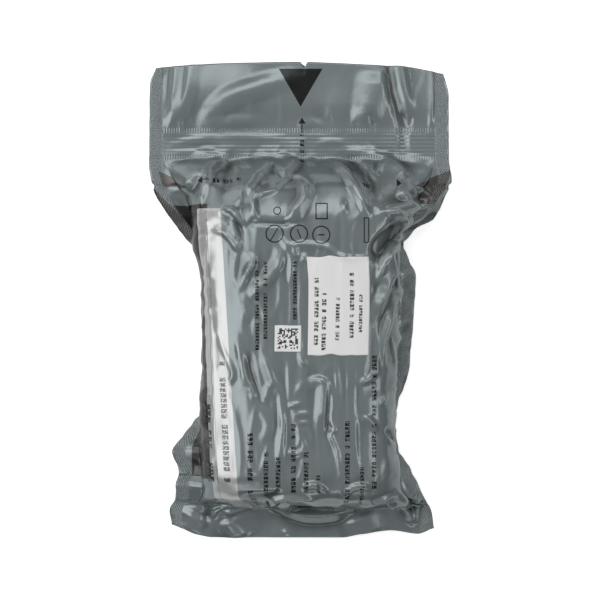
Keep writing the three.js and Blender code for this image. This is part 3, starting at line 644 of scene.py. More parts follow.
def blurred(values: Array, times: int) -> Array:
    """A grid of values smoothed by its neighbours, several times.

    Args:
        values: Grid of values.
        times: How often each value becomes the mean of itself and its neighbours.

    Returns:
        The smoothed grid.
    """
    for _ in range(times):
        padded = np.pad(values, 1, mode="edge")
        across = (padded[1:-1, :-2] + 2 * padded[1:-1, 1:-1] + padded[1:-1, 2:]) / 4
        padded = np.pad(across, 1, mode="edge")
        values = (padded[:-2, 1:-1] + 2 * padded[1:-1, 1:-1] + padded[2:, 1:-1]) / 4
    return values


def lowest(values: Array, reach: int = 4) -> Array:
    """A grid's lowest value within some grid points of each point.

    Args:
        values: Grid of values.
        reach: How many points away to look, up, down and to the sides.

    Returns:
        The lowest values.
    """
    rows, columns = values.shape
    padded = np.pad(values, reach, mode="edge")
    across = np.min([padded[:, j : j + columns] for j in range(2 * reach + 1)], axis=0)
    return np.min([across[i : i + rows] for i in range(2 * reach + 1)], axis=0)


def sample(values: Array, rows: Array, columns: Array) -> Array:
    """Values of a grid between its points.

    Args:
        values: Grid of values, or of vectors.
        rows: Row places, with fractions.
        columns: Column places, with fractions.

    Returns:
        A value for each row place and column place.
    """
    row = np.clip(rows.astype(int), 0, values.shape[0] - 2)
    column = np.clip(columns.astype(int), 0, values.shape[1] - 2)
    up = (rows - row)[:, None]
    over = (columns - column)[None]
    if values.ndim == 3:
        up, over = up[..., None], over[..., None]
    low, high = (
        values[line][:, column] * (1 - over) + values[line][:, column + 1] * over
        for line in (row, row + 1)
    )
    return low * (1 - up) + high * up


class Texture(Enum):
    """Kind of seeded relief."""

    CLOUDY = "cloudy"
    FACETS = "facets"
    CREASED = "creased"


@dataclass(frozen=True)
class Layer:
    """Layer of seeded relief.

    height is that of its highest features and across and along are how far apart they lie, all in
    millimetres. line is a crease's width as a share of the noise's height.
    """

    height: float
    across: float
    along: float
    seed: float
    texture: Texture = Texture.CLOUDY
    line: float = 0.2

    def at(self, across: Array, along: Array) -> Array:
        """Height of the layer.

        Args:
            across: Places across, in millimetres.
            along: Places along, in millimetres.

        Returns:
            Heights in the shape of the places.
        """
        places = across / self.across, along / self.along
        if self.texture is CREASED:
            return self.height * creased(*places, self.seed, self.line)
        if self.texture is FACETS:
            return self.height * facets(*places, self.seed)
        return self.height * cloudy(*places, self.seed)


CLOUDY, FACETS, CREASED = Texture


class Part(Enum):
    """Part of the front web that wrinkles in its own way."""

    HEADER = "header"
    SHOULDER = "shoulder"
    FOOT = "foot"
    FLANGE = "flange"
    FLANK = "flank"
    CROWN = "crown"
    FINS = "fins"


WRINKLES = {
    Part.HEADER: (
        Layer(0.75, 15, 21, 11),
        Layer(0.1, 9, 13, 4.1, FACETS),
        Layer(0.1, 9, 30, 31, CREASED),
    ),
    Part.SHOULDER: (
        Layer(0.06, 12, 14, 2.2, FACETS),
        Layer(0.07, 9, 12, 13),
    ),
    Part.FOOT: (
        Layer(0.12, 9, 9, 5.7, FACETS),
        Layer(0.06, 5, 6, 15),
    ),
    Part.FLANGE: (
        Layer(0.6, 14, 9, 17),
        Layer(0.1, 4, 7, 18),
    ),
    Part.FLANK: (
        Layer(0.48, 8, 6.5, 1.3, FACETS),
        Layer(0.3, 12, 7, 19, CREASED, 0.22),
    ),
    Part.CROWN: (
        Layer(0.3, 6, 22, 21),
        Layer(0.16, 2.4, 20, 23),
        Layer(0.2, 7, 30, 25, CREASED, 0.16),
        Layer(0.14, 7, 12, 6.6, FACETS),
    ),
    Part.FINS: (Layer(0.12, 3, 1.6, 27),),
}
ROLL_END_SHIFTS = (Layer(1, 1 / 2.4, 30, 51), Layer(0.25, 1 / 4.5, 18, 53))
SHARED_WAVE = Layer(1, 26, 34, 1.7)
SHARED_RIPPLE = Layer(0.35, 9, 22, 2.9)
FIN_WIDTH_CHANGE = Layer(0.25, 7, 1, 3.3)
FIN_SWAYS = (Layer(1, 5.5, 0.25, 9.1), Layer(0.5, 2.6, 0.25, 5.2))
BACK_DENTS = Layer(0.25, 9, 8, 8.8, FACETS)
BACK_CREASES = Layer(0.3, 11, 7, 33, CREASED)
BACK_FLAT_CREASES = Layer(0.1, 14, 18, 35, CREASED, 0.12)


@dataclass
class WebGrid:
    """One web's contact surface as a grid, rows along Y and columns from left to right."""

    points: Array
    across: Array
    tip: Array

    @property
    def y(self) -> Array:
        """Y of every point."""
        return self.points[:, :, 1]

    def places(self) -> Array:
        """Distance across the web, Y and distance from the web's tip, as rows."""
        return np.dstack([self.across, self.y, self.tip]).reshape(-1, 3)

    def normals(self, web: Web) -> Array:
        """Unit normals that point out of the pouch."""
        along_columns = np.gradient(self.points, axis=1)
        along_rows = np.gradient(self.points, axis=0)
        normal = np.cross(along_columns, along_rows)
        normal /= np.linalg.norm(normal, axis=2, keepdims=True)
        return normal if web is Web.FRONT else -normal


@dataclass
class PouchForm:
    """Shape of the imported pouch: where its two webs meet the roll and each other."""

    sizes: PouchSizes
    fin_columns: int = 16
    fin_sway: float = 0.9
    least_gather: float = 0.35
    head_shift: float = 4.0
    foot_shift: float = 2.4
    wave_height: float = 0.7
    foot_wave: float = 1.6
    corner_droop: float = 3.6
    seal_fade: float = 5.0

    def __post_init__(self) -> None:
        """Reads the tables into curves."""
        self.section = self._curves(SECTIONS, "left", "right", "rise", "level", "hang", "square")
        self.fin = {
            side: self._curves(rows, "leave", "reach", "bend")
            for side, rows in ((Side.LEFT, LEFT_FIN), (Side.RIGHT, RIGHT_FIN))
        }
        self.bottom_edge, self.top_edge = (
            Curve([row.x for row in rows], [row.draw for row in rows])
            for rows in (BOTTOM_EDGE, TOP_EDGE)
        )
        self.fin_shares = np.linspace(0, 1, self.fin_columns + 1)[None, 1:]

    def _curves(self, rows: tuple, *keys: str) -> dict[str, Curve]:
        """Curves of some columns of a table along Y."""
        places = [self.sizes.y_of(row.zone, row.at) for row in rows]
        return {key: Curve(places, [getattr(row, key) for row in rows]) for key in keys}

    def flatness(self, y: Array) -> Array:
        """Share from 0 to 1 by which the two webs lie together at a station."""
        foot = self.sizes.fade(y, (Zone.LOWER_SLOPE, 0.5), (Zone.BOTTOM_SEAL, 1))
        head = self.sizes.fade(y, (Zone.UPPER_SLOPE, 0.6), (Zone.TOP_SEAL, 0))
        return np.maximum(foot, head)

    def weld(self, y: Array) -> Array:
        """Share from 0 to 1 by which the two webs are sealed to each other at a station."""
        return self.flatness(y) * self.sizes.fade(y, (Zone.HEADER, 0.3), (Zone.TOP_SEAL, 1))

    def film_offset(self, grid: WebGrid) -> Array:
        """How far a film's outer side lies from the contact surface, least where it is sealed."""
        s = self.sizes
        full = ease(s.side_seal, s.side_seal + self.seal_fade, grid.tip) * (1 - self.flatness(grid.y))
        return s.seal_film + (s.film + s.gap / 2 - s.seal_film) * full

    def grid(self, web: Web, rows: int, columns: int) -> WebGrid:
        """The contact surface of one web.

        Args:
            web: Which web.
            rows: Number of steps along Y.
            columns: Number of steps across, between the roots of the fins.

        Returns:
            The grid, with its fins, edges, notch and nicks.
        """
        y = self._stations(rows)[:, None]
        start = (180 if web is Web.FRONT else -180) + self.fin[Side.LEFT]["leave"](y)
        end = -self.fin[Side.RIGHT]["leave"](y)
        angles = np.radians(start + (end - start) * np.linspace(0, 1, OUTLINE_STEPS + 1))
        outline = self._outline(y + self._uneven(-np.cos(angles), y), angles)
        run_x, run_z, run_length = self._even_runs(*outline, columns)
        left_x, left_z, left_width = self._fin(Side.LEFT, y, run_x[:, :1], run_z[:, :1])
        right_x, right_z, right_width = self._fin(Side.RIGHT, y, run_x[:, -1:], run_z[:, -1:])
        px = np.hstack([left_x[:, ::-1], run_x, right_x])
        pz = np.hstack([left_z[:, ::-1], run_z, right_z])
        across = np.hstack([
            run_length[:, :1] - left_width * self.fin_shares[:, ::-1],
            run_length,
            run_length[:, -1:] + right_width * self.fin_shares,
        ])
        tip = np.minimum(across - across[:, :1], across[:, -1:] - across)
        py = np.broadcast_to(y, px.shape)
        py = py + self._edge_shift(px, py)
        pz = pz + self.wave_height * self._wave(px, py) * self.flatness(py) - self._droop(px, py)
        return WebGrid(np.stack([px, py, pz], axis=2), across, tip)

    def _stations(self, rows: int) -> Array:
        """Stations along Y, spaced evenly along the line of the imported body's top."""
        s = self.sizes
        y = np.linspace(s.y_of(Zone.BOTTOM_SEAL, 0), s.y_of(Zone.HEADER, 1), STATION_STEPS * rows + 1)
        top = (self.section["level"](y) + self.section["rise"](y)) * s.depth
        lengths = np.concatenate([[0], np.cumsum(np.hypot(np.diff(y), np.diff(top)))])
        return np.interp(np.linspace(0, lengths[-1], rows + 1), lengths, y)

    @staticmethod
    def _even_runs(x: Array, z: Array, columns: int) -> list[Array]:
        """Evenly spaced points on every row's outline: x, z and the distance from its middle."""
        steps = np.hypot(np.diff(x, axis=1), np.diff(z, axis=1))
        lengths = np.pad(np.cumsum(steps, axis=1), ((0, 0), (1, 0)))
        crown = slice(OUTLINE_STEPS // 3, -(OUTLINE_STEPS // 3))
        runs = []
        for row_x, row_z, length in zip(x, z, lengths):
            even = np.linspace(0, length[-1], columns + 1)
            middle = np.interp(0, row_x[crown], length[crown])
            runs.append([np.interp(even, length, row_x), np.interp(even, length, row_z), even - middle])
        return [np.array([run[k] for run in runs]) for k in range(3)]

    def _uneven(self, u: Array, y: Array) -> Array:
        """How far the roll's two ends shift along Y across the pouch, u from -1 to 1."""
        fade = self.sizes.fade
        y = np.broadcast_to(y, u.shape)
        head = fade(y, (Zone.BODY, 0.8), (Zone.BODY, 0.97))
        head = head * fade(y, (Zone.TOP_SEAL, 0), (Zone.UPPER_SLOPE, 0.4))
        foot = fade(y, (Zone.BODY, 0.12), (Zone.BODY, 0.02))
        foot = foot * fade(y, (Zone.BOTTOM_SEAL, 1), (Zone.LOWER_SLOPE, 0.3))
        shift = sum(layer.at(u, y) for layer in ROLL_END_SHIFTS)
        return shift * (self.head_shift * head + self.foot_shift * foot)

    def _outline(self, y: Array, angles: Array) -> tuple[Array, Array]:
        """Outline of the body, x and z, at angles in radians, for a column of stations y."""
        s = self.sizes
        value = {key: curve(y) for key, curve in self.section.items()}
        power = 2 / value["square"]
        across = np.abs(np.cos(angles)) ** power
        up = np.abs(np.sin(angles)) ** power
        right = s.roll_half + value["right"] * s.margin
        left = -s.roll_half - value["left"] * s.margin
        x = np.where(np.cos(angles) > 0, right, left) * across
        above = value["level"] + value["rise"] * up
        below = value["level"] * (1 - value["hang"] * np.minimum(1, UNDERSIDE_CUT * up))
        return x, s.low + np.where(np.sin(angles) >= 0, above, below) * s.depth

    def _fin(
        self, side: Side, y: Array, root_x: Array, root_z: Array
    ) -> tuple[Array, Array, Array]:
        """Fin columns from next to the root out to the tip: x, z and the fin's width."""
        s = self.sizes
        own = np.full(y.shape, float(side.value))
        nick = np.clip(1 - np.abs(y - s.y_of(Zone.UPPER_SLOPE, s.nick_at)) / (s.nick_width / 2), 0, 1)
        width = s.side_seal + self.fin[side]["reach"](y) * s.margin
        width = width + FIN_WIDTH_CHANGE.at(y, own) - s.nick_depth * nick
        hang = self.fin[side]["bend"](y)
        bend = np.radians(hang)
        gather = ease(2, 12, hang) + self.least_gather
        sway = sum(layer.at(y, own) for layer in FIN_SWAYS)
        sway = self.fin_sway * sway * gather * self.fin_shares**1.5
        out = width * self.fin_shares
        x = root_x + side.value * (out * np.cos(bend) + sway * np.sin(bend))
        return x, root_z - out * np.sin(bend) + sway * np.cos(bend), width

    def _edge_shift(self, x: Array, y: Array) -> Array:
        """How far the pouch's own edges move along Y at (x, y), the tear notch included."""
        s = self.sizes
        share = x / (s.web_width / 2)
        seal = np.clip(1 - (y - s.y_of(Zone.BOTTOM_SEAL, 0)) / s.bottom_seal, 0, 1)
        head = np.clip((y - s.y_of(Zone.HEADER, 0)) / s.header, 0, 1)
        notch = np.clip(1 - np.abs(x - s.notch_x) / (s.notch_width / 2), 0, 1)
        shift = seal * self.bottom_edge(share) * s.bottom_seal
        shift = shift - head * self.top_edge(share) * s.header
        return shift - ease(NOTCH_FROM, 1, head) * notch * s.notch_depth

    def _droop(self, x: Array, y: Array) -> Array:
        """How far the lower left corner of the pouch hangs."""
        s = self.sizes
        foot = s.fade(y, (Zone.BODY, 0.06), (Zone.BOTTOM_SEAL, 1))
        beside = (-0.9 * s.roll_half - x) / (s.web_width / 2 - s.roll_half)
        return self.corner_droop * foot * np.clip(beside, 0, 1.2)

    def _wave(self, x: Array, y: Array) -> Array:
        """Slow waves that both webs share where they lie together."""
        foot = self.sizes.fade(y, (Zone.BODY, 0), (Zone.BOTTOM_SEAL, 1))
        return (1 + self.foot_wave * foot) * SHARED_WAVE.at(x, y) + SHARED_RIPPLE.at(x, y)


@dataclass
class FilmRelief:
    """Height of the front web's folds and wrinkles over its contact surface."""

    form: PouchForm
    grid: WebGrid
    least_width: float = 1.0
    path_step: float = 0.3
    end_height: float = 0.25
    taper_rate: float = 1.6

    def __post_init__(self) -> None:
        """Notes the grid's own coordinates."""
        self.x = self.grid.points[:, :, 0]
        self.y = self.grid.y
        self.s = self.grid.across

    def total(self) -> Array:
        """Folds and wrinkles together, in millimetres."""
        return blurred(self.folds() + self.wrinkles(), 1)

    def unrolled(self, x: float, y: float) -> tuple[float, float]:
        """Place on the unrolled web of a point seen in plan.

        Args:
            x: Its X in plan.
            y: Its Y in plan.

        Returns:
            Distance across the web from its middle, and y.
        """
        middle = self.x.shape[1] // 2
        row = int(np.argmin(np.abs(self.y[:, middle] - y)))
        to_right = np.maximum.accumulate(self.x[row, middle:])
        to_left = np.minimum.accumulate(self.x[row, : middle + 1][::-1])[::-1]
        xs = np.concatenate([to_left[:-1], to_right])
        past = x - np.clip(x, xs[0], xs[-1])
        return float(np.interp(x, xs, self.s[row])) + past, y

    def folds(self) -> Array:
        """Height of every fold of the tables, added up."""
        height = np.zeros(self.s.shape)
        for fold in (*HEADER_FOLDS, *SHOULDER_FOLDS, *BODY_FOLDS, *FOOT_FOLDS):
            self._add(fold, height)
        return height

    def _add(self, fold: Fold, height: Array) -> None:
        """Adds one fold to a grid of heights.

        Args:
            fold: The fold.
            height: Grid of heights, changed in place.
        """
        sizes = self.form.sizes
        plan = np.array([(sizes.across(u), sizes.along(v)) for u, v in fold.path])
        path = np.array([self.unrolled(u, v) for u, v in smooth_path(plan, self.path_step)])
        reach = 1.1 * max(fold.left, fold.right, self.least_width)
        low, high = path.min(axis=0) - reach, path.max(axis=0) + reach
        near = (self.s > low[0]) & (self.s < high[0]) & (self.y > low[1]) & (self.y < high[1])
        if not near.any():
            return
        places = np.column_stack([self.s[near], self.y[near]])
        away = places[:, None] - path[None]
        distance = np.hypot(away[..., 0], away[..., 1])
        nearest = distance.argmin(axis=1)
        each = np.arange(len(places))
        heading = np.gradient(path, axis=0)[nearest]
        turned = heading[:, 0] * away[each, nearest, 1] - heading[:, 1] * away[each, nearest, 0]
        width = np.maximum(np.where(turned > 0, fold.left, fold.right), self.least_width)
        ends = np.clip(self.taper_rate * np.sin(math.pi * nearest / (len(path) - 1)), 0, 1)
        taper = self.end_height + (1 - self.end_height) * ends
        height[near] += fold.height * taper * fold.crest.profile(distance[each, nearest] / width)

    def wrinkles(self) -> Array:
        """Height of the seeded wrinkles, each kind where the film has it."""
        height = np.zeros(self.s.shape)
        for part, share in self._shares().items():
            for layer in WRINKLES[part]:
                height += share * layer.at(self.s, self.y)
        return height

    def _shares(self) -> dict[Part, Array]:
        """Share from 0 to 1 by which every point belongs to each part of the web."""
        sizes, y, tip = self.form.sizes, self.y, self.grid.tip
        fade = sizes.fade
        inward = ease(sizes.side_seal - 1, sizes.side_seal + 4, tip)
        head = fade(y, (Zone.TOP_SEAL, 0.8), (Zone.HEADER, 0.15))
        above = fade(y, (Zone.BODY, 0.86), (Zone.BODY, 0.98))
        above = above * fade(y, (Zone.TOP_SEAL, 0.1), (Zone.UPPER_SLOPE, 0.6))
        below = fade(y, (Zone.BODY, 0.03), (Zone.BODY, -0.03))
        below = below * fade(y, (Zone.BOTTOM_SEAL, 0.8), (Zone.LOWER_SLOPE, 0.3))
        over = fade(y, (Zone.BODY, -0.02), (Zone.BODY, 0.05))
        over = over * fade(y, (Zone.BODY, 1), (Zone.BODY, 0.93))
        flank = over * ease(sizes.roll_half - 6, sizes.roll_half, np.abs(self.s))
        return {
            Part.HEADER: head,
            Part.SHOULDER: above * inward,
            Part.FOOT: below * inward,
            Part.FLANGE: fade(y, (Zone.BOTTOM_SEAL, 1), (Zone.BOTTOM_SEAL, 0.7)),
            Part.FLANK: flank,
            Part.CROWN: over * (1 - flank),
            Part.FINS: 1 - ease(sizes.side_seal - 1.5, sizes.side_seal + 0.5, tip),
        }


def assemble(
    name: str, points: Array, faces: list[tuple[int, ...]], finishes: list[int], smooth: int
) -> Object:
    """A mesh object from points in millimetres.

    Args:
        name: Name of the piece.
        points: Points as rows.
        faces: Corners of each face.
        finishes: Number of each face's material.
        smooth: How many of the first faces are shaded smooth.

    Returns:
        The object, linked to the scene at the origin.
    """
    mesh = bpy.data.meshes.new(name)
    mesh.from_pydata((points * MM).tolist(), [], faces)
    mesh.polygons.foreach_set("material_index", finishes)
    mesh.polygons.foreach_set("use_smooth", [i < smooth for i in range(len(faces))])
    mesh.update()
    piece = bpy.data.objects.new(name, mesh)
    bpy.context.scene.collection.objects.link(piece)
    return piece


def quads(number: Array, upward: bool) -> list[tuple[int, ...]]:
    """Faces of a grid of point numbers.

    Args:
        number: Number of each grid point.
        upward: Whether the faces turn the way that the grid's own normal does.

    Returns:
        Four corners for each face.
    """
    corners = [number[:-1, :-1], number[:-1, 1:], number[1:, 1:], number[1:, :-1]]
    if not upward:
        corners = corners[::-1]
    return [tuple(face) for face in np.stack(corners, axis=2).reshape(-1, 4).tolist()]


def note(piece: Object, name: str, values: Array) -> None:
    """Stores a value or a vector at each point of a piece, for its finish to read.

    Args:
        piece: The piece.
        name: Name of the attribute.
        values: One number or one row of three for each point.
    """
    kind, key = ("FLOAT", "value") if values.ndim == 1 else ("FLOAT_VECTOR", "vector")
    attribute = piece.data.attributes.new(name, kind, "POINT")
    attribute.data.foreach_set(key, values.astype(np.float32).ravel())


def dress(piece: Object, *materials: Material) -> None:
    """Gives a piece its materials, in order."""
    piece.data.materials.clear()
    for material in materials:
        piece.data.materials.append(material)


@dataclass
class FilmSheet:
    """Thin closed sheet between a fine outer grid and a coarse inner one."""

    outer: Array
    inner: Array
    coarse: int = 4

    def build(self, name: str, web: Web) -> tuple[Object, Array]:
        """Builds the sheet.

        Args:
            name: Name of the piece.
            web: Which web, which settles the way that its faces turn.

        Returns:
            The object, and for each of its points the number of the grid point that it came from.
        """
        rows, columns = self.outer.shape[:2]
        number = np.arange(rows * columns).reshape(rows, columns)
        kept = number[:: self.coarse, :: self.coarse]
        inner_number = rows * columns + np.arange(kept.size).reshape(kept.shape)
        source = np.concatenate([number.ravel(), kept.ravel()])
        points = np.vstack([self.outer.reshape(-1, 3), self.inner.reshape(-1, 3)[kept.ravel()]])
        outside = quads(number, web is Web.FRONT)
        inside = quads(inner_number, web is Web.BACK)
        rim = [
            *self._rim(number[0], inner_number[0]),
            *self._rim(number[:, -1], inner_number[:, -1]),
            *self._rim(number[-1, ::-1], inner_number[-1, ::-1]),
            *self._rim(number[::-1, 0], inner_number[::-1, 0]),
        ]
        if web is Web.BACK:
            rim = [face[::-1] for face in rim]
        finishes = [0] * len(outside) + [1] * (len(inside) + len(rim))
        faces = [*outside, *inside, *rim]
        return assemble(name, points, faces, finishes, len(outside) + len(inside)), source

    def _rim(self, edge: Array, inner_edge: Array) -> list[tuple[int, ...]]:
        """Faces between a run of fine edge points and the coarse points inside it."""
        faces = []
        for i in range(len(inner_edge) - 1):
            fine = edge[i * self.coarse : (i + 1) * self.coarse + 1]
            faces.append((*reversed(fine.tolist()), int(inner_edge[i]), int(inner_edge[i + 1])))
        return faces


@dataclass
class FrontWeb:
    """The printed front film, drawn over the roll, with its fins, seals and header."""

    form: PouchForm
    rows: int = 372
    columns: int = 208
    deepest: float = -1.0
    corner_ease: int = 10
    crest_gain: float = 2.5
    crest_reach: int = 6
    hollow_gain: float = 1.3
    hollow_reach: int = 60

    def shape(self) -> None:
        """Works out the outer surface and the relief on it."""
        self.grid = self.form.grid(Web.FRONT, self.rows, self.columns)
        self.normals = self._eased(self.grid.normals(Web.FRONT))
        self.relief = np.maximum(FilmRelief(self.form, self.grid).total(), self.deepest)
        offset = self.form.film_offset(self.grid)
        inner = offset - self.form.sizes.least_film + lowest(self.relief)
        self.outer = self.grid.points + self.normals * (offset + self.relief)[:, :, None]
        self.inner = self.grid.points + self.normals * inner[:, :, None]

    def _eased(self, normals: Array) -> Array:
        """Normals turned gradually between the fins, so that no fold crosses itself in a corner."""
        fins = self.form.fin_columns
        parts = [blurred(normals[:, fins:-fins, k], self.corner_ease) for k in range(3)]
        eased = normals.copy()
        eased[:, fins:-fins] = np.stack(parts, axis=2)
        return eased / np.linalg.norm(eased, axis=2, keepdims=True)

    def build(self, film: Material, inside: Material) -> Object:
        """Builds and dresses the web.

        Args:
            film: Finish of its printed side.
            inside: Finish of its inner side and edges.

        Returns:
            The finished piece.
        """
        piece, source = FilmSheet(self.outer, self.inner).build("front_film", Web.FRONT)
        # Crest heights, for the pale crests: partly ink rubbed off, partly a painted highlight.
        crest = self.crest_gain * (self.relief - blurred(self.relief, self.crest_reach))
        # Hollow depths, for a painted shade that darkens the hollows of the folds.
        hollow = self.hollow_gain * (self.relief - blurred(self.relief, self.hollow_reach))
        # Both in one attribute: rubbed and painted-lit crests above 0, painted shade below 0.
        wear_and_light = np.maximum(crest, 0) + np.minimum(hollow, 0)
        note(piece, PLACE, self.grid.places()[source])
        note(piece, WEAR_AND_LIGHT, np.clip(wear_and_light, -1, 1).ravel()[source])
        dress(piece, film, inside)
        return piece


@dataclass
class BackWeb:
    """The plain back film, flat where the roll presses it on the table."""

    form: PouchForm
    front: FrontWeb
    rows: int = 240
    columns: int = 160
    fin_columns: int = 12
    fold_slack: float = 0.12
    crest_gain: float = 2.5
    crest_reach: int = 4

    def build(self, film: Material, inside: Material) -> Object:
        """Builds and dresses the web.

        Args:
            film: Finish of its outer side.
            inside: Finish of its inner side and edges.

        Returns:
            The finished piece.
        """
        sizes = self.form.sizes
        form = PouchForm(sizes, self.fin_columns)
        grid = form.grid(Web.BACK, self.rows, self.columns)
        normals = grid.normals(Web.BACK)
        relief = self._follow(grid, form) + self._wrinkles(grid, form)
        out = form.film_offset(grid) + relief
        outer, inner = (
            grid.points + normals * distance[:, :, None] for distance in (out, out - sizes.least_film)
        )
        outer[:, :, 2] = np.maximum(outer[:, :, 2], 0)
        inner[:, :, 2] = np.maximum(inner[:, :, 2], sizes.least_film)
        piece, source = FilmSheet(outer, inner).build("back_film", Web.BACK)
        # Crest heights, for the pale crests: partly ink rubbed off, partly a painted highlight.
        crest = self.crest_gain * (relief - blurred(relief, self.crest_reach))
        note(piece, PLACE, grid.places()[source])
        note(piece, WEAR_AND_LIGHT, np.clip(crest, -1, 1).ravel()[source])
        dress(piece, film, inside)
        return piece

    def _follow(self, grid: WebGrid, form: PouchForm) -> Array:
        """What the front web's relief pushes or draws the back web by, outward."""
        front = self.front
        rows = np.linspace(0, front.rows, self.rows + 1)
        own, theirs = (
            np.cumsum([0, fins, columns, fins])
            for fins, columns in (
                (self.fin_columns, self.columns),
                (front.form.fin_columns, front.columns),
            )
        )
        columns = np.interp(np.arange(own[-1] + 1), own, theirs)
        drawn = np.minimum(front.relief, lowest(front.relief) + self.fold_slack)
        height = sample(drawn, rows, columns)
        weld = np.maximum(form.weld(grid.y), 1 - ease(4, 6, grid.tip))
        return -(weld * height + (1 - weld) * np.minimum(height, 0) * form.flatness(grid.y))

    def _wrinkles(self, grid: WebGrid, form: PouchForm) -> Array:
        """The back web's own wrinkles, none of them below the table."""
        s, y = grid.across, grid.y
        packed = 1 - form.flatness(y)
        high = ease(1.5, 4, grid.points[:, :, 2]) * packed * ease(4, 8, grid.tip)
        dents = np.abs(BACK_DENTS.at(s, y)) + BACK_CREASES.at(s, y)
        return -high * dents - packed * BACK_FLAT_CREASES.at(s, y)


@dataclass
class Label:
    """Label that is stuck on the front web and follows its larger folds."""

    front: FrontWeb
    name: str
    at_across: float
    at_along: float
    width: float
    height: float
    stock: float = 0.12
    lift: float = 0.05
    step: float = 0.42
    edge_wave: float = 0.3
    wave_length: float = 5.0
    wave_line: float = -3.0
    wave_seed: float = 41
    stiffness: int = 5

    def build(self, stock: Material) -> Object:
        """Builds and dresses the label.

        Args:
            stock: Its finish.

        Returns:
            The finished piece.
        """
        front = self.front
        sizes = front.form.sizes
        centre_x, centre_y = sizes.across(self.at_across), sizes.along(self.at_along)
        rows_of = front.grid.y[:, front.grid.y.shape[1] // 2]
        middle_row = int(np.argmin(np.abs(rows_of - centre_y)))
        across_of = front.grid.across[middle_row]
        up = np.linspace(-0.5, 0.5, int(self.height / self.step) + 1)
        over = np.linspace(-0.5, 0.5, int(self.width / self.step) + 1)
        rows = np.interp(centre_y + up * self.height, rows_of, np.arange(len(rows_of)))
        columns = np.interp(centre_x + over * self.width, across_of, np.arange(len(across_of)))
        shift = self._edge_shift(up, over) / (rows_of[middle_row + 1] - rows_of[middle_row])
        stiff = np.maximum(blurred(front.relief, self.stiffness), front.relief) - front.relief
        layers = []
        for height in (self.lift + self.stock, self.lift):
            layer = front.outer + front.normals * (stiff + height)[:, :, None]
            here = sample(layer, rows, columns)
            ahead = sample(layer, rows + 1, columns)
            layers.append(here + (ahead - here) * shift[..., None])
        return self._slab(layers, up, over, stock)

    def _edge_shift(self, up: Array, over: Array) -> Array:
        """How far the label's rows wave along the pouch, most at its two ends."""
        line = np.full(over.shape, self.wave_line)
        wave = cloudy(over * self.width / self.wave_length, line, self.wave_seed)
        return self.edge_wave * wave * (2 * np.abs(up[:, None])) ** 3

    def _slab(
        self, layers: list[Array], up: Array, over: Array, stock: Material
    ) -> Object:
        """The closed slab between two layers of points, dressed."""
        rows, columns = layers[0].shape[:2]
        count = rows * columns
        number = np.arange(count).reshape(rows, columns)
        faces = quads(number, True) + quads(number + count, False)
        smooth = len(faces)
        loop = [*number[0], *number[1:, -1], *number[-1, -2::-1], *number[-2:0:-1, 0]]
        for a, b in zip(loop, [*loop[1:], loop[0]]):
            faces.append((int(a), int(a) + count, int(b) + count, int(b)))
        points = np.vstack([layer.reshape(-1, 3) for layer in layers])
        piece = assemble(self.name, points, faces, [0] * len(faces), smooth)
        across, along = np.meshgrid(over * self.width, up * self.height)
        place = np.dstack([across, along, np.zeros_like(across)]).reshape(-1, 3)
        note(piece, LABEL_PLACE, np.vstack([place, place]))
        dress(piece, stock)
        return piece


@dataclass
class WoundRoll:
    """The rolled elastic wrap inside the pouch, with the spiral of its layers at its ends."""

    sizes: PouchSizes
    sides: int = 96
    end_round: float = 7.0
    end_rings: int = 8
    core: float = 0.04
    layers: int = 9
    layer_rings: int = 4
    layer_depth: float = 0.5

    def build(self, cloth: Material) -> Object:
        """Builds and dresses the roll.

        Args:
            cloth: Its finish.

        Returns:
            The finished piece.
        """
        s = self.sizes
        middle_y = s.along(0.5)
        middle_z = s.film + s.gap + s.roll_thickness / 2
        turn = np.linspace(0, 2 * math.pi, self.sides, endpoint=False)
        power = 2 / s.roll_square
        across, up = (
            np.sign(part) * np.abs(part) ** power for part in (np.cos(turn), np.sin(turn))
        )
        outer = self._end_rings()
        rings = [(share, -end) for share, end in outer]
        rings += [(share, end) for share, end in reversed(outer)]
        points = [
            np.column_stack([
                self._half(share, s.roll_width) * across,
                np.full(self.sides, middle_y + end),
                middle_z + self._half(share, s.roll_thickness) * up,
            ])
            for share, end in rings
        ]
        number = np.arange(len(rings) * self.sides).reshape(len(rings), self.sides)
        faces = quads(np.hstack([number, number[:, :1]]), False)
        smooth = len(faces)
        faces += [tuple(number[0].tolist()), tuple(number[-1][::-1].tolist())]
        piece = assemble("wound_wrap", np.vstack(points), faces, [0] * len(faces), smooth)
        dress(piece, cloth)
        return piece

    def _end_rings(self) -> list[tuple[float, float]]:
        """Rings of one end, from its core out: share of the thickness and distance from the middle."""
        half_length = self.sizes.roll_length / 2
        half_thickness = self.sizes.roll_thickness / 2
        rounded = [
            (1 - self.end_round * (1 - math.sin(a)) / half_thickness,
             half_length - self.end_round * (1 - math.cos(a)))
            for a in np.linspace(0, math.pi / 2, self.end_rings + 1)
        ]
        spiral = np.linspace(self.core, rounded[0][0], self.layer_rings * self.layers)
        wound = [
            (share, half_length - self.layer_depth * (k % self.layer_rings in (1, 2)))
            for k, share in enumerate(spiral)
        ]
        return [*wound[:-1], *rounded]

    def _half(self, share: float, size: float) -> float:
        """Half of a size, drawn in by the same distance all round as the thickness is."""
        return size / 2 - (1 - share) * self.sizes.roll_thickness / 2


Input = float | tuple | NodeSocket
Colour = tuple[float, float, float, float]


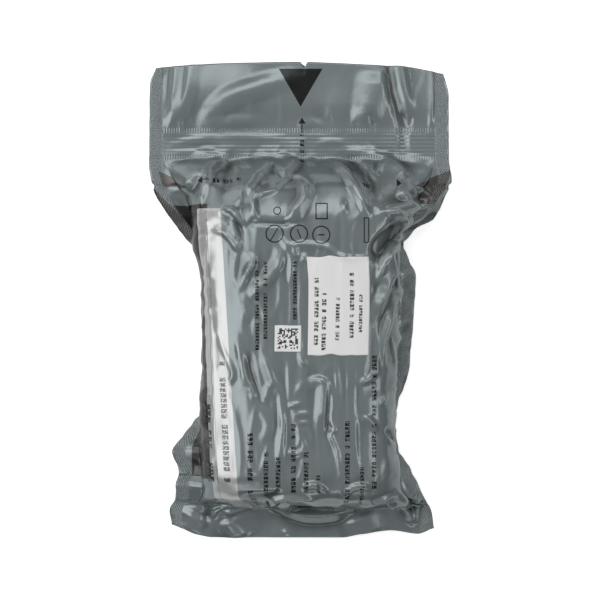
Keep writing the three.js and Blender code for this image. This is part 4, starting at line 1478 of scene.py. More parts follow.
class NodeTree:
    """Adds nodes to a shader tree and links them."""

    def __init__(self, tree: ShaderNodeTree) -> None:
        """Takes the tree and empties it."""
        self.tree = tree
        tree.nodes.clear()

    def set(self, socket: NodeSocket, value: Input) -> None:
        """Links a socket to another, or sets its own value."""
        if isinstance(value, NodeSocket):
            self.tree.links.new(value, socket)
        else:
            socket.default_value = value

    def add(self, kind: str, values: dict | None = None, **settings: str | bool) -> Node:
        """Adds a node.

        Args:
            kind: The node's type.
            values: What goes into its inputs, by name or number.
            settings: Its other settings.

        Returns:
            The node.
        """
        node = self.tree.nodes.new(kind)
        for key, value in settings.items():
            setattr(node, key, value)
        for key, value in (values or {}).items():
            self.set(node.inputs[key], value)
        return node

    def math(self, operation: str, *values: Input) -> NodeSocket:
        """Result of a Math node."""
        return self.add("ShaderNodeMath", dict(enumerate(values)), operation=operation).outputs[0]

    def plus(self, a: Input, b: Input) -> NodeSocket:
        """a + b."""
        return self.math("ADD", a, b)

    def minus(self, a: Input, b: Input) -> NodeSocket:
        """a - b."""
        return self.math("SUBTRACT", a, b)

    def times(self, a: Input, b: Input) -> NodeSocket:
        """a times b."""
        return self.math("MULTIPLY", a, b)

    def size(self, a: Input) -> NodeSocket:
        """a without its sign."""
        return self.math("ABSOLUTE", a)

    def most(self, values: list[Input]) -> NodeSocket:
        """The highest of several values."""
        highest = values[0]
        for value in values[1:]:
            highest = self.math("MAXIMUM", highest, value)
        return highest

    def range(
        self, value: Input, low: float, high: float, to_low: float, to_high: float
    ) -> NodeSocket:
        """The value mapped from one range to another, held within it."""
        values = {0: value, 1: low, 2: high, 3: to_low, 4: to_high}
        return self.add("ShaderNodeMapRange", values).outputs[0]

    def mix(self, share: Input, a: Input, b: Input) -> NodeSocket:
        """Colour between a and b."""
        node = self.add("ShaderNodeMix", data_type="RGBA")
        colours = [socket for socket in node.inputs if socket.type == "RGBA"]
        self.set(node.inputs[0], share)
        self.set(colours[0], a)
        self.set(colours[1], b)
        return next(socket for socket in node.outputs if socket.type == "RGBA")

    def stored(self, name: str, output: str = "Vector") -> NodeSocket:
        """What the mesh stores at each point under a name: its Vector, or its Fac for a number."""
        node = self.add("ShaderNodeAttribute", attribute_type="GEOMETRY", attribute_name=name)
        return node.outputs[output]

    def apart(self, vector: Input) -> list[NodeSocket]:
        """The three parts of a vector."""
        return list(self.add("ShaderNodeSeparateXYZ", {0: vector}).outputs)

    def together(self, *parts: Input) -> NodeSocket:
        """The vector of up to three parts."""
        return self.add("ShaderNodeCombineXYZ", dict(enumerate(parts))).outputs[0]

    def chance(self, vector: Input) -> NodeSocket:
        """Random number from 0 to 1, its own for each value of a vector."""
        return self.add("ShaderNodeTexWhiteNoise", {0: vector}, noise_dimensions="3D").outputs[0]

    def noise(
        self, vector: Input, scale: Input, detail: float, roughness: float
    ) -> NodeSocket:
        """Noise from 0 to 1."""
        values = {"Vector": vector, "Scale": scale, "Detail": detail, "Roughness": roughness}
        return self.add("ShaderNodeTexNoise", values).outputs[0]

    def stretched(self, vector: Input, across: float, along: float) -> NodeSocket:
        """A vector in the plane, each part multiplied by its own scale."""
        values = {0: vector, 1: (across, along, 0)}
        return self.add("ShaderNodeVectorMath", values, operation="MULTIPLY").outputs[0]

    def object_place(self) -> NodeSocket:
        """Place in the object's own coordinates, in metres."""
        return self.add("ShaderNodeTexCoord").outputs["Object"]

    def group(self, group: ShaderNodeTree, **values: Input) -> Node:
        """Places a node group."""
        node = self.tree.nodes.new("ShaderNodeGroup")
        node.node_tree = group
        for key, value in values.items():
            self.set(node.inputs[key], value)
        return node

    def bump(
        self, height: Input, strength: float, depth: float, under: Input | None = None
    ) -> NodeSocket:
        """Normal from a height in shares of a depth in millimetres, over another normal if any."""
        values = {"Height": height, "Strength": strength, "Distance": depth * MM}
        if under is not None:
            values["Normal"] = under
        return self.add("ShaderNodeBump", values).outputs[0]

    def surface(self, values: dict[str, Input]) -> None:
        """Ends a material's tree with a Principled shader."""
        shader = self.add("ShaderNodeBsdfPrincipled", values)
        self.add("ShaderNodeOutputMaterial", {"Surface": shader.outputs[0]})


def new_material(name: str) -> tuple[Material, NodeTree]:
    """A new material and its empty tree."""
    material = bpy.data.materials.new(name)
    material.use_nodes = True
    return material, NodeTree(material.node_tree)


def darker(colour: Colour, share: float) -> Colour:
    """A colour with each part multiplied by a share."""
    return (*(share * part for part in colour[:3]), 1)


def new_group(name: str, inputs: dict[str, float | None], outputs: tuple[str, ...]) -> tuple:
    """Starts a shader node group.

    Args:
        name: Name of the group.
        inputs: Default of each input, or None for a vector.
        outputs: Names of its outputs, all of them numbers.

    Returns:
        The group, a NodeTree on it, its input sockets by name and its output node.
    """
    group = bpy.data.node_groups.new(name, "ShaderNodeTree")
    for key, default in inputs.items():
        kind = "NodeSocketVector" if default is None else "NodeSocketFloat"
        socket = group.interface.new_socket(name=key, in_out="INPUT", socket_type=kind)
        if default is not None:
            socket.default_value = default
    for key in outputs:
        group.interface.new_socket(name=key, in_out="OUTPUT", socket_type="NodeSocketFloat")
    tree = NodeTree(group)
    source = tree.add("NodeGroupInput").outputs
    return group, tree, source, tree.add("NodeGroupOutput")


@dataclass(frozen=True)
class EffectSizes:
    """Sizes of the print, the seals' emboss and the crinkles, in millimetres or shares."""

    edge_softness: float = 0.14
    slope_of_arrow: float = 0.85
    stroke_half: float = 0.38
    letter_pitch: float = 0.62
    letter_half: float = 0.4
    word_gaps: float = 0.17
    stroke_noise: float = 1.7
    seal_from: float = 0.5
    seal_to: float = 4.9
    rib_pitch: float = 1.35
    rib_height: float = 0.16
    rib_edge: float = 0.2
    tick_height: float = 0.3
    crease_height: float = 0.12


class Effects:
    """Shader node groups that more than one material or mark uses, each built once."""

    def __init__(self) -> None:
        """Builds every group."""
        self.sizes = EffectSizes()
        self.block = self._block()
        self.ring = self._ring()
        self.arrow = self._arrow()
        self.words = self._words()
        self.emboss = self._emboss()
        self.crinkle = self._crinkle()
        self.wear_and_light = self._wear_and_light()

    def _edge(self, tree: NodeTree, distance: Input) -> NodeSocket:
        """Mask that is 1 inside an outline, from the signed distance to it."""
        half = self.sizes.edge_softness / 2
        return tree.range(distance, -half, half, 1, 0)

    @staticmethod
    def _from(tree: NodeTree, source: bpy.types.bpy_prop_collection, start: str) -> tuple[Input, Input]:
        """Distances across and along from a mark's place, of which start is the input along."""
        across, along, _ = tree.apart(source["Place"])
        return tree.minus(across, source["Across"]), tree.minus(along, source[start])

    @staticmethod
    def _past(tree: NodeTree, distance: Input, size: Input, share: float = 0.5) -> Input:
        """How far a distance, to either side, is past a share of a size."""
        return tree.minus(tree.size(distance), tree.times(size, share))

    def _block(self) -> ShaderNodeTree:
        """Printed rectangle, leaning by a share of its length."""
        inputs = {"Place": None, "Across": 0, "Along": 0, "Width": 1, "Height": 1, "Lean": 0}
        group, tree, source, out = new_group("print_block", inputs, ("Mask",))
        over, up = self._from(tree, source, "Along")
        over = tree.minus(over, tree.times(up, source["Lean"]))
        past_side = self._past(tree, over, source["Width"])
        past_end = self._past(tree, up, source["Height"])
        tree.set(out.inputs["Mask"], self._edge(tree, tree.most([past_side, past_end])))
        return group

    def _ring(self) -> ShaderNodeTree:
        """Printed ring."""
        inputs = {"Place": None, "Across": 0, "Along": 0, "Radius": 1, "Line": 0.3}
        group, tree, source, out = new_group("print_ring", inputs, ("Mask",))
        over, up = self._from(tree, source, "Along")
        away = tree.math("SQRT", tree.plus(tree.times(over, over), tree.times(up, up)))
        distance = self._past(tree, tree.minus(away, source["Radius"]), source["Line"])
        tree.set(out.inputs["Mask"], self._edge(tree, distance))
        return group

    def _arrow(self) -> ShaderNodeTree:
        """Printed triangle on the middle of its base, its point turned from up."""
        inputs = {"Place": None, "Across": 0, "Along": 0, "Base": 2, "Reach": 2, "Turn": 0}
        group, tree, source, out = new_group("print_arrow", inputs, ("Mask",))
        over, up = self._from(tree, source, "Along")
        sine, cosine = tree.math("SINE", source["Turn"]), tree.math("COSINE", source["Turn"])
        forward = tree.plus(tree.times(up, cosine), tree.times(over, sine))
        aside = tree.minus(tree.times(over, cosine), tree.times(up, sine))
        left = tree.minus(1, tree.math("DIVIDE", forward, source["Reach"]))
        past_side = self._past(tree, aside, tree.times(source["Base"], left))
        past_side = tree.times(past_side, self.sizes.slope_of_arrow)
        distance = tree.most([past_side, tree.times(forward, -1)])
        tree.set(out.inputs["Mask"], self._edge(tree, distance))
        return group

    def _words(self) -> ShaderNodeTree:
        """Line of print with no real letters: short strokes in runs as long as words."""
        sizes = self.sizes
        inputs = {"Place": None, "Across": 0, "Low": 0, "High": 1, "Size": 2, "Lean": 0, "Seed": 0}
        group, tree, source, out = new_group("print_words", inputs, ("Mask",))
        over, up = self._from(tree, source, "Low")
        over = tree.minus(over, tree.times(up, source["Lean"]))
        length = tree.minus(source["High"], source["Low"])
        past_side = self._past(tree, over, source["Size"], sizes.stroke_half)
        past_end = self._past(tree, tree.minus(up, tree.times(length, 0.5)), length)
        line = self._edge(tree, tree.most([past_side, past_end]))
        letters = tree.math("DIVIDE", up, tree.times(source["Size"], sizes.letter_pitch))
        chance = tree.chance(tree.together(tree.math("FLOOR", letters), source["Seed"]))
        inked = tree.math("GREATER_THAN", chance, sizes.word_gaps)
        from_middle = tree.size(tree.minus(tree.math("FRACT", letters), 0.5))
        letter = tree.math("LESS_THAN", from_middle, sizes.letter_half)
        spot = tree.together(over, up, source["Seed"])
        fill = tree.range(tree.noise(spot, sizes.stroke_noise, 0, 0.5), 0.4, 0.46, 0.3, 1)
        mask = tree.times(tree.times(line, inked), tree.times(letter, fill))
        tree.set(out.inputs["Mask"], mask)
        return group

    def _emboss(self) -> ShaderNodeTree:
        """Relief of the heat seals: a fine grid along the sides and ribs across the top seal."""
        sizes = self.sizes
        inputs = {"Place": None, "Foot": 0, "Head": 1, "Pitch": 0.87}
        group, tree, source, out = new_group("seal_emboss", inputs, ("Height", "Studs"))
        across, along, tip = tree.apart(source["Place"])
        turns = tree.math("DIVIDE", 2 * math.pi, source["Pitch"])
        tip_wave, along_wave, across_wave = (
            tree.math("SINE", tree.times(part, turns)) for part in (tip, along, across)
        )
        studs = tree.times(tip_wave, along_wave)
        from_tip = tree.range(tip, sizes.seal_from, sizes.seal_from + 0.3, 0, 1)
        side = tree.times(from_tip, tree.range(tip, sizes.seal_to - 0.6, sizes.seal_to, 1, 0))
        ribs = tree.math("SINE", tree.times(along, 2 * math.pi / sizes.rib_pitch))
        from_foot, from_head = tree.minus(along, source["Foot"]), tree.minus(along, source["Head"])
        band = tree.times(
            tree.range(from_foot, -sizes.rib_edge, sizes.rib_edge, 0, 1),
            tree.range(from_head, -sizes.rib_edge, sizes.rib_edge, 1, 0),
        )
        nearest = tree.math("MINIMUM", tree.size(from_foot), tree.size(from_head))
        ticks = tree.times(tree.range(nearest, 0.7, 1.1, 1, 0), across_wave)
        height = tree.plus(tree.times(side, studs), tree.times(band, tree.times(ribs, sizes.rib_height)))
        height = tree.plus(height, tree.times(ticks, sizes.tick_height))
        tree.set(out.inputs["Height"], height)
        tree.set(out.inputs["Studs"], tree.times(side, tree.range(studs, 0.1, 0.7, 0, 1)))
        return group

    def _crinkle(self) -> ShaderNodeTree:
        """Fine crinkles of handled film, longer along the pouch than across it."""
        inputs = {"Place": None, "Scale": 1, "Sharpness": 0.5}
        group, tree, source, out = new_group("film_crinkle", inputs, ("Height", "Tone"))
        long_way = tree.stretched(source["Place"], 0.55, 0.16)
        short_way = tree.stretched(source["Place"], 0.35, 0.5)
        slow = tree.noise(long_way, source["Scale"], 2, 0.55)
        ridge = tree.size(tree.minus(tree.noise(short_way, source["Scale"], 1.5, 0.5), 0.5))
        crease = tree.times(tree.range(ridge, 0, 0.05, 1, 0), source["Sharpness"])
        height = tree.plus(slow, tree.times(crease, self.sizes.crease_height))
        tree.set(out.inputs["Height"], height)
        tone = tree.noise(tree.stretched(source["Place"], 0.05, 0.04), 1, 3, 0.6)
        tree.set(out.inputs["Tone"], tone)
        return group

    @staticmethod
    def _wear_and_light() -> ShaderNodeTree:
        """Pale crests, partly rubbed ink and partly a painted highlight, broken up by a fine grain, and
        painted shade for hollows.
        """
        inputs = {"Place": None, "Crest": 0, "Amount": 0.5}
        group, tree, source, out = new_group("crest_wear_and_light", inputs, ("Mask", "Hollow"))
        grain = tree.noise(tree.stretched(source["Place"], 1.6, 1.2), 1, 2, 0.6)
        # Pale crests: partly rubbed ink, partly a painted highlight.
        crest = tree.range(source["Crest"], 0.12, 0.75, 0, 1)
        rubbed = tree.times(crest, tree.range(grain, 0.35, 0.65, 0.2, 1))
        tree.set(out.inputs["Mask"], tree.times(rubbed, source["Amount"]))
        # Painted shade that darkens the colour in the hollows of the folds.
        tree.set(out.inputs["Hollow"], tree.range(source["Crest"], -0.1, -0.9, 0, 1))
        return group


class Shape(Enum):
    """Shape of a printed mark, with the inputs that its two sizes and its turn go to."""

    ARROW = ("Base", "Reach", "Turn")
    RING = ("Radius", "Line")
    BLOCK = ("Width", "Height", "Lean")


ARROW, RING, BLOCK = Shape


@dataclass(frozen=True)
class Mark:
    """Printed mark, its place in shares of half the body across and of the body along.

    The two sizes are in millimetres: an arrow's base and reach, a ring's radius and line, or a
    block's width and height. turn is an arrow's angle from up, in radians, or how far a block
    leans as a share of its length.
    """

    shape: Shape
    across: float
    along: float
    first: float
    second: float
    turn: float = 0.0


@dataclass(frozen=True)
class TextLine:
    """Line of print that runs along the pouch, in shares of half the body and of the body."""

    across: float
    low: float
    high: float
    size: float
    lean: float = 0.0


@dataclass(frozen=True)
class CrossLine:
    """Line of print that runs across the pouch, its middle in shares and its length in mm."""

    across: float
    along: float
    length: float


@dataclass(frozen=True)
class LabelLine:
    """Line of print on the data label, in millimetres from the label's middle."""

    across: float
    low: float
    high: float
    size: float


TEAR_MARKS = (
    Mark(ARROW, 0.006, 1.432, 15.2, 13.2, math.pi),
    Mark(ARROW, 0.021, 1.244, 2.6, 2.1),
    Mark(BLOCK, 0.021, 1.228, 0.35, 3.4),
    Mark(ARROW, -1.016, 1.042, 2.2, 2, -math.pi / 2),
    Mark(BLOCK, -0.985, 1.042, 2.2, 0.32),
    Mark(ARROW, 1.026, 1.028, 2.2, 2, math.pi / 2),
)
SIGN_MARKS = (
    Mark(RING, -0.261, 0.864, 2.9, 0.42),
    Mark(RING, -0.01, 0.864, 2.9, 0.42),
    Mark(RING, 0.219, 0.86, 2.9, 0.42),
    Mark(RING, -0.235, 0.94, 1.2, 0.4),
    Mark(BLOCK, -0.261, 0.864, 0.4, 5, 0.6),
    Mark(BLOCK, -0.01, 0.864, 0.4, 3, -0.4),
    Mark(BLOCK, 0.219, 0.86, 2.2, 0.45),
    Mark(BLOCK, 0.165, 0.939, 0.45, 5.2),
    Mark(BLOCK, 0.28, 0.939, 0.45, 5.2),
    Mark(BLOCK, 0.222, 0.964, 4.2, 0.45),
    Mark(BLOCK, 0.222, 0.914, 4.2, 0.45),
)
FRAME_OUTSIDE = Mark(BLOCK, 0.684, 0.876, 1.9, 8.6)
FRAME_INSIDE = Mark(BLOCK, 0.684, 0.876, 1.2, 7.9)
DARK_BAND = Mark(BLOCK, -1.24, 0.5, 20, 94, -0.02)
PALE_BAND = Mark(BLOCK, -0.865, 0.45, 9.2, 101, -0.062)
PALE_BAND_LINE = Mark(BLOCK, -0.905, 0.44, 0.32, 96, -0.045)
TURNED_CORNERS = (
    Mark(ARROW, 1.62, 1.05, 7.6, 13.4, -1.75),
    Mark(BLOCK, 1.5, 1, 9, 5.2, 0.3),
    Mark(ARROW, -1.52, 1.055, 5.6, 11, 1.85),
    Mark(BLOCK, -1.66, 0.93, 6.5, 20, -0.3),
)
TEXT_LINES = (
    TextLine(-0.512, -0.043, 0.196, 2.4),
    TextLine(-0.35, -0.043, 0.128, 2.1),
    TextLine(-0.225, -0.043, 0.111, 2.1),
    TextLine(-0.068, -0.009, 0.237, 2.1),
    TextLine(0.063, -0.009, 0.128, 2.1),
    TextLine(0.188, -0.009, 0.049, 1.7),
    TextLine(0.486, -0.043, 0.231, 2.1),
    TextLine(0.637, -0.043, 0.077, 1.7),
    TextLine(0.763, -0.009, 0.453, 2.1),
    TextLine(-0.439, 0.47, 0.771, 1.7),
    TextLine(-0.355, 0.487, 0.771, 1.7),
    TextLine(-0.052, 0.573, 0.778, 1.7),
)
BAND_LINES = (
    TextLine(-0.935, 0.025, 0.316, 3.6, -0.05),
    TextLine(-0.745, 0.025, 0.453, 2.9, -0.05),
)
TEAR_LINE = TextLine(0.021, 1.107, 1.206, 1.9)
TEAR_LINE_SEED = 31
LINE_SEED = 3.7
CROSS_LINES = (
    CrossLine(-0.773, 1.042, 9.8),
    CrossLine(0.705, 1.028, 3.9),
)
CROSS_LINE_SIZE = 1.9
LABEL_LINES = (
    LabelLine(-7.6, -13.4, 9.6, 1.9),
    LabelLine(-5, -15.2, 4.4, 1.9),
    LabelLine(-0.4, -11.8, 3, 1.7),
    LabelLine(4.4, -11, 12, 1.9),
    LabelLine(7.4, -9, 4, 1.5),
)


@dataclass(frozen=True)
class Laminate:
    """What the finishes of all films share: crinkles, embossed seals, and pale crests that are partly
    rubbed ink and partly a painted highlight.
    """

    sizes: PouchSizes
    effects: Effects

    def _reliefs(
        self, tree: NodeTree, place: Input, scale: float, sharpness: float, amount: float
    ) -> tuple[Node, Node, Node]:
        """The nodes of the crinkles, of the seals and of the pale crests and painted shade."""
        foot, head = (self.sizes.y_of(Zone.TOP_SEAL, end) for end in (0, 1))
        crest = tree.stored(WEAR_AND_LIGHT, "Fac")
        return (
            tree.group(self.effects.crinkle, Place=place, Scale=scale, Sharpness=sharpness),
            tree.group(self.effects.emboss, Place=place, Foot=foot, Head=head),
            tree.group(self.effects.wear_and_light, Place=place, Crest=crest, Amount=amount),
        )


@dataclass(frozen=True)
class PrintedFilm(Laminate):
    """Satin grey-green laminate with a pale band, a dark band and dark print, painted shade in the
    folds' hollows and pale crests that are partly a painted highlight.
    """

    ground: Colour = (0.172, 0.205, 0.21, 1)
    pale: Colour = (0.43, 0.435, 0.435, 1)
    dark: Colour = (0.012, 0.012, 0.012, 1)
    ink: Colour = (0.018, 0.02, 0.02, 1)
    faded_ink: Colour = (0.06, 0.063, 0.063, 1)
    reverse: Colour = (0.05, 0.047, 0.043, 1)
    studs: Colour = (0.26, 0.28, 0.28, 1)
    # Colour of the pale crests, partly rubbed ink and partly a painted highlight.
    worn_and_lit: Colour = (0.3, 0.33, 0.33, 1)
    # Colour of the painted shade in the hollows of the folds.
    hollow: Colour = (0.035, 0.042, 0.043, 1)
    roughness: float = 0.21
    specular: float = 1.0
    metallic: float = 0.4
    ink_metallic: float = 0.88
    band_line_share: float = 0.75
    hollow_share: float = 0.95
    stud_share: float = 0.5
    emboss_depth: float = 0.1
    crinkle_depth: float = 0.05

    def material(self) -> Material:
        """Builds the material."""
        material, tree = new_material("printed_film")
        place = tree.stored(PLACE)
        crinkle, seal, wear_and_light = self._reliefs(tree, place, 1, 0.6, 0.35)
        tone = crinkle.outputs["Tone"]
        ink = self._ink(tree, place)
        # Painted shade: the hollows of the folds are darkened in the colour.
        hollow = tree.times(wear_and_light.outputs["Hollow"], self.hollow_share)
        studs = tree.times(seal.outputs["Studs"], self.stud_share)
        colour = tree.mix(tree.range(tone, 0.3, 0.7, 0, 0.16), self.ground, darker(self.ground, 0.8))
        for mask, over in (
            (self._mark(tree, place, DARK_BAND), self.dark),
            (self._pale_band(tree, place), self.pale),
            (self._lines(tree, place, BAND_LINES), self.faded_ink),
            (self._marks(tree, place, TURNED_CORNERS), self.reverse),
            (ink, self.ink),
            # Painted shade in the hollows of the folds.
            (hollow, self.hollow),
            # Pale crests: partly rubbed ink, partly a painted highlight.
            (wear_and_light.outputs["Mask"], self.worn_and_lit),
            (studs, self.studs),
        ):
            colour = tree.mix(mask, colour, over)
        emboss = tree.bump(seal.outputs["Height"], 1, self.emboss_depth)
        tree.surface({
            "Base Color": colour,
            "Roughness": tree.range(tone, 0.3, 0.7, self.roughness - 0.04, self.roughness + 0.06),
            "Metallic": tree.range(ink, 0, 1, self.metallic, self.ink_metallic),
            "Specular IOR Level": self.specular,
            "Normal": tree.bump(crinkle.outputs["Height"], 1, self.crinkle_depth, emboss),
        })
        return material

    def _mark(self, tree: NodeTree, place: Input, mark: Mark) -> Input:
        """Mask of one printed mark."""
        group = getattr(self.effects, mark.shape.name.lower())
        sizes = dict(zip(mark.shape.value, (mark.first, mark.second, mark.turn)))
        across, along = self.sizes.across(mark.across), self.sizes.along(mark.along)
        return tree.group(group, Place=place, Across=across, Along=along, **sizes).outputs[0]

    def _marks(self, tree: NodeTree, place: Input, marks: tuple[Mark, ...]) -> Input:
        """Mask of several marks together."""
        return tree.most([self._mark(tree, place, mark) for mark in marks])

    def _pale_band(self, tree: NodeTree, place: Input) -> Input:
        """Mask of the pale band down the left side, with the thin line on it left out."""
        line = tree.times(self._mark(tree, place, PALE_BAND_LINE), self.band_line_share)
        return tree.times(self._mark(tree, place, PALE_BAND), tree.minus(1, line))

    def _line(self, tree: NodeTree, place: Input, line: TextLine, seed: float) -> Input:
        """Mask of one line of print."""
        return tree.group(
            self.effects.words, Place=place, Across=self.sizes.across(line.across),
            Low=self.sizes.along(line.low), High=self.sizes.along(line.high), Size=line.size,
            Lean=line.lean, Seed=seed + LINE_SEED,
        ).outputs[0]

    def _lines(self, tree: NodeTree, place: Input, lines: tuple[TextLine, ...]) -> Input:
        """Mask of several lines of print together."""
        return tree.most([self._line(tree, place, line, seed) for seed, line in enumerate(lines)])

    def _ink(self, tree: NodeTree, place: Input) -> Input:
        """Mask of the dark print: the tear arrows, the frames and rings, and the lines."""
        inside = self._mark(tree, place, FRAME_INSIDE)
        return tree.most([
            self._marks(tree, place, (*TEAR_MARKS, *SIGN_MARKS)),
            tree.minus(self._mark(tree, place, FRAME_OUTSIDE), inside),
            self._lines(tree, place, TEXT_LINES),
            self._line(tree, place, TEAR_LINE, TEAR_LINE_SEED),
            *(self._cross_line(tree, place, line) for line in CROSS_LINES),
        ])

    def _cross_line(self, tree: NodeTree, place: Input, line: CrossLine) -> Input:
        """Mask of a line of print that runs across the pouch."""
        across, along, _ = tree.apart(place)
        middle = self.sizes.across(line.across)
        node = tree.group(
            self.effects.words, Place=tree.together(along, across), Size=CROSS_LINE_SIZE,
            Across=self.sizes.along(line.along), Low=middle - line.length / 2,
            High=middle + line.length / 2, Seed=line.across,
        )
        return node.outputs[0]


@dataclass(frozen=True)
class BackFilm(Laminate):
    """Plain dark laminate with embossed seals and pale crests, partly rubbed ink and partly a painted
    highlight.
    """

    name: str = "back_film"
    ground: Colour = (0.085, 0.08, 0.074, 1)
    # Colour of the pale crests, partly rubbed ink and partly a painted highlight.
    worn_and_lit: Colour = (0.2, 0.19, 0.175, 1)
    roughness: float = 0.36
    specular: float = 0.8
    metallic: float = 0.2
    emboss_depth: float = 0.16
    crinkle_depth: float = 0.16

    def material(self) -> Material:
        """Builds the material."""
        material, tree = new_material(self.name)
        crinkle, seal, wear_and_light = self._reliefs(tree, tree.stored(PLACE), 1.3, 0.8, 0.5)
        tone = crinkle.outputs["Tone"]
        colour = tree.mix(tree.range(tone, 0.3, 0.7, 0, 0.3), self.ground, darker(self.ground, 0.7))
        emboss = tree.bump(seal.outputs["Height"], 1, self.emboss_depth)
        tree.surface({
            # Pale crests: partly rubbed ink, partly a painted highlight.
            "Base Color": tree.mix(wear_and_light.outputs["Mask"], colour, self.worn_and_lit),
            "Roughness": tree.range(tone, 0.3, 0.7, self.roughness - 0.05, self.roughness + 0.07),
            "Metallic": self.metallic,
            "Specular IOR Level": self.specular,
            "Normal": tree.bump(crinkle.outputs["Height"], 1, self.crinkle_depth, emboss),
        })
        return material


class LabelPrint(Enum):
    """What is printed on a label."""

    LINES = "lines"
    BLOCKS = "blocks"


@dataclass(frozen=True)
class LabelStock:
    """Matte white label with either short printed lines or a made-up block pattern."""

    effects: Effects
    print: LabelPrint
    ground: Colour = (0.75, 0.755, 0.75, 1)
    ink: Colour = (0.03, 0.03, 0.03, 1)
    roughness: float = 0.5
    cell: float = 0.5
    field_size: float = 7.0
    white_share: float = 0.48
    fibre_depth: float = 0.03

    def material(self) -> Material:
        """Builds the material."""
        material, tree = new_material(f"label_{self.print.value}")
        place = tree.stored(LABEL_PLACE)
        mask = self._lines(tree, place) if self.print is LabelPrint.LINES else self._blocks(tree, place)
        fibre = tree.noise(tree.stretched(place, 3, 2.2), 1, 3, 0.6)
        shade = tree.range(fibre, 0.3, 0.7, 0, 0.12)
        ground = tree.mix(shade, self.ground, darker(self.ground, 0.86))
        tree.surface({
            "Base Color": tree.mix(mask, ground, self.ink),
            "Roughness": tree.range(fibre, 0.3, 0.7, self.roughness - 0.05, self.roughness + 0.08),
            "Specular IOR Level": 0.5,
            "Normal": tree.bump(fibre, 0.5, self.fibre_depth),
        })
        return material

    def _lines(self, tree: NodeTree, place: Input) -> Input:
        """Mask of the data label's short lines of print."""
        nodes = [
            tree.group(self.effects.words, Place=place, Across=line.across, Low=line.low,
                       High=line.high, Size=line.size, Seed=line.across)
            for line in LABEL_LINES
        ]
        return tree.most([node.outputs[0] for node in nodes])

    def _blocks(self, tree: NodeTree, place: Input) -> Input:
        """Mask of the code label's random blocks inside a plain border."""
        spot = tree.stretched(place, 1 / self.cell, 1 / self.cell)
        cell = tree.add("ShaderNodeVectorMath", {0: spot}, operation="FLOOR").outputs[0]
        inked = tree.math("GREATER_THAN", tree.chance(cell), self.white_share)
        size = self.field_size
        within = tree.group(self.effects.block, Place=place, Width=size, Height=size)
        return tree.times(inked, within.outputs[0])


@dataclass(frozen=True)
class WrapCloth:
    """Matte woven elastic wrap."""

    ground: Colour = (0.15, 0.16, 0.09, 1)
    thread: Colour = (0.24, 0.25, 0.15, 1)
    pitch: float = 0.9
    depth: float = 0.2

    def material(self) -> Material:
        """Builds the material."""
        material, tree = new_material("wrap_cloth")
        x, y, z = tree.apart(tree.object_place())
        turns = 2 * math.pi / (self.pitch * MM)
        warp = tree.math("SINE", tree.times(y, turns))
        weft = tree.math("SINE", tree.times(tree.plus(x, z), turns))
        weave = tree.range(tree.times(warp, weft), -1, 1, 0, 1)
        tree.surface({
            "Base Color": tree.mix(weave, self.ground, self.thread),
            "Roughness": tree.range(weave, 0, 1, 0.95, 0.82),
            "Normal": tree.bump(weave, 0.8, self.depth),
        })
        return material


@dataclass(frozen=True)
class ClipPlastic:
    """Moulded plastic with a fine matte texture."""

    ground: Colour = (0.07, 0.08, 0.05, 1)
    grain_scale: float = 2500.0
    grain_depth: float = 0.03

    def material(self) -> Material:
        """Builds the material."""
        material, tree = new_material("clip_plastic")
        grain = tree.noise(tree.object_place(), self.grain_scale, 3, 0.6)
        shade = tree.range(grain, 0.3, 0.7, 0, 1)
        tree.surface({
            "Base Color": tree.mix(shade, self.ground, darker(self.ground, 0.7)),
            "Roughness": tree.range(grain, 0.3, 0.7, 0.45, 0.6),
            "Normal": tree.bump(grain, 0.4, self.grain_depth),
        })
        return material


@dataclass(frozen=True)
class FloorPaper:
    """Matte pale paper with a slight unevenness, which glows to the camera."""

    ground: Colour = (0.93, 0.93, 0.93, 1)
    glow: float = 0.67
    mirrored_glow: float = 0.0

    def material(self) -> Material:
        """Builds the material."""
        material, tree = new_material("floor_paper")
        grain = tree.range(tree.noise(tree.object_place(), 40, 2, 0.5), 0.3, 0.7, 0, 1)
        mirrored = tree.add("ShaderNodeLightPath").outputs["Is Glossy Ray"]
        tree.surface({
            "Base Color": tree.mix(grain, self.ground, darker(self.ground, 0.985)),
            "Roughness": 0.9,
            "Specular IOR Level": 0.2,
            "Emission Color": self.ground,
            "Emission Strength": tree.range(mirrored, 0, 1, self.glow, self.mirrored_glow),
        })
        return material


@dataclass(frozen=True)
class Softbox:
    """Rectangular lamp aimed at the pouch: azimuth from +X round to +Y, lean from straight above."""

    name: str
    azimuth: float
    lean: float
    width: float
    height: float
    radiance: float
    distance: float = 1.1

    def build(self) -> Object:
        """Builds the lamp."""
        lamp = bpy.data.lights.new(self.name, "AREA")
        lamp.shape = "RECTANGLE"
        lamp.size, lamp.size_y = self.width, self.height
        lamp.energy = self.radiance * math.pi * self.width * self.height
        piece = bpy.data.objects.new(self.name, lamp)
        turn, lean = math.radians(self.azimuth), math.radians(self.lean)
        aside = math.sin(lean)
        place = Vector((aside * math.cos(turn), aside * math.sin(turn), math.cos(lean)))
        piece.location = place * self.distance
        piece.rotation_euler = place.to_track_quat("Z", "Y").to_euler()
        bpy.context.scene.collection.objects.link(piece)
        return piece


LAMPS = (
    Softbox("lamp_head", 95, 34, 1.1, 0.42, 2.2),
    Softbox("lamp_head_left", 130, 70, 0.8, 0.6, 1.1),
    Softbox("lamp_head_right", 55, 74, 0.6, 0.4, 0.7),
    Softbox("lamp_left", 180, 40, 0.6, 0.9, 2.3),
    Softbox("lamp_right", 0, 42, 0.9, 0.14, 2.8),
    Softbox("lamp_foot", -88, 52, 0.9, 0.12, 2.6),
)


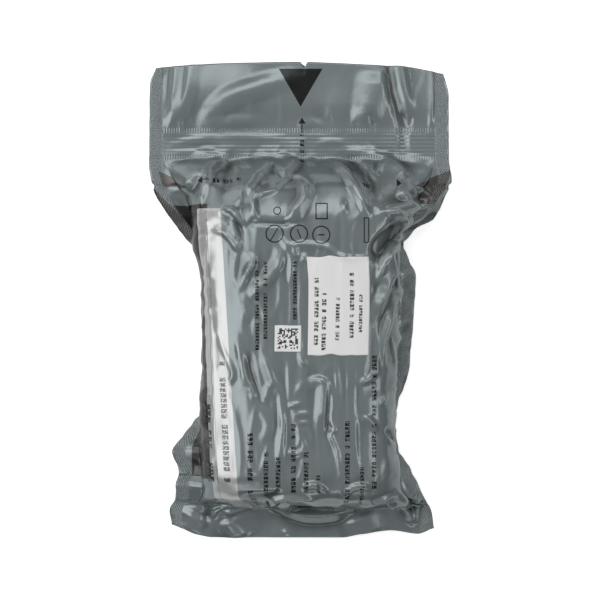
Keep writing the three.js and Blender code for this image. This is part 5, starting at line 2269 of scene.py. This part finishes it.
@dataclass
class Studio:
    """Pale floor, soft lamps and the camera straight above."""

    floor_size: float = 6.0
    floor_drop: float = 0.02
    sky: Colour = (1.0, 1.0, 1.0, 1)
    sky_strength: float = 0.07
    zenith_strength: float = 0.5
    foot_share: float = 0.62
    camera_height: float = 1.2
    sensor: float = 36.0
    lens: float = 205.8
    clip_start: float = 0.01

    def build(self) -> None:
        """Builds the floor, the lamps, the sky and the camera."""
        half = self.floor_size / 2 / MM
        corners = np.array([(-half, -half, 0), (half, -half, 0), (half, half, 0), (-half, half, 0)])
        floor = assemble("floor", corners, [(0, 1, 2, 3)], [0], 0)
        floor.location.z = -self.floor_drop * MM
        dress(floor, FloorPaper().material())
        for lamp in LAMPS:
            lamp.build()
        self._build_sky()
        self._build_camera()

    def _build_sky(self) -> None:
        """Dim sky that brightens overhead and dims towards the pouch's foot."""
        world = bpy.data.worlds.new("studio_sky")
        world.use_nodes = True
        tree = NodeTree(world.node_tree)
        _, head, height = tree.apart(tree.add("ShaderNodeTexCoord").outputs["Generated"])
        strength = tree.range(height, 0.1, 0.85, self.sky_strength, self.zenith_strength)
        strength = tree.times(strength, tree.range(head, -0.7, 0.2, self.foot_share, 1))
        sky = tree.add("ShaderNodeBackground", {"Color": self.sky, "Strength": strength})
        tree.add("ShaderNodeOutputWorld", {"Surface": sky.outputs[0]})
        bpy.context.scene.world = world
        bpy.context.scene.view_settings.view_transform = "Standard"

    def _build_camera(self) -> None:
        """Camera straight above the pouch."""
        camera = bpy.data.cameras.new("camera")
        camera.sensor_width = self.sensor
        camera.lens = self.lens
        camera.clip_start = self.clip_start
        viewer = bpy.data.objects.new("camera", camera)
        viewer.location = (0, 0, self.camera_height)
        bpy.context.scene.collection.objects.link(viewer)
        bpy.context.scene.camera = viewer


def settle(piece: Object, slot: str, *nodes: str) -> None:
    """Joins a piece to the frame.

    Args:
        piece: The piece.
        slot: Name of the record's material slot, which is only logged.
        nodes: The CAD nodes that it stands for.
    """
    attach(piece, BODY)
    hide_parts(*nodes)
    log.info("%s: %d faces, slot %s", piece.name, len(piece.data.polygons), slot)


def main() -> None:
    """Builds the pouch, what is in it and on it, and the studio."""
    logging.basicConfig(level=logging.INFO, format="%(name)s: %(message)s")
    sizes = PouchSizes()
    form = PouchForm(sizes)
    effects = Effects()
    printed = PrintedFilm(sizes, effects).material()
    plain = BackFilm(sizes, effects).material()
    # The inside's pale crest colour is partly rubbed ink and partly a painted highlight.
    lining = BackFilm(
        sizes, effects, "film_inside", ground=(0.3, 0.31, 0.31, 1), worn_and_lit=(0.36, 0.37, 0.37, 1)
    ).material()
    front = FrontWeb(form)
    front.shape()
    settle(front.build(printed, lining), "printed_film", "front_web")
    settle(BackWeb(form, front).build(plain, lining), "back_film", "back_web")
    data_label = Label(front, "data_label_film", 0.4, 0.62, 20.8, 33.6, edge_wave=0.6)
    data_print = LabelStock(effects, LabelPrint.LINES).material()
    settle(data_label.build(data_print), "label_film", "data_label")
    code_label = Label(front, "code_label_film", -0.125, 0.51, 9.0, 9.0, edge_wave=0.1)
    code_print = LabelStock(effects, LabelPrint.BLOCKS).material()
    settle(code_label.build(code_print), "label_film", "code_label")
    roll = WoundRoll(sizes).build(WrapCloth().material())
    settle(roll, "wrap_cloth", "bandage_roll")
    dress(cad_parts["closure_clip"], ClipPlastic().material())
    log.info("closure_clip: the CAD node, with its finish")
    Studio().build()


if __name__ == "__main__":
    main()
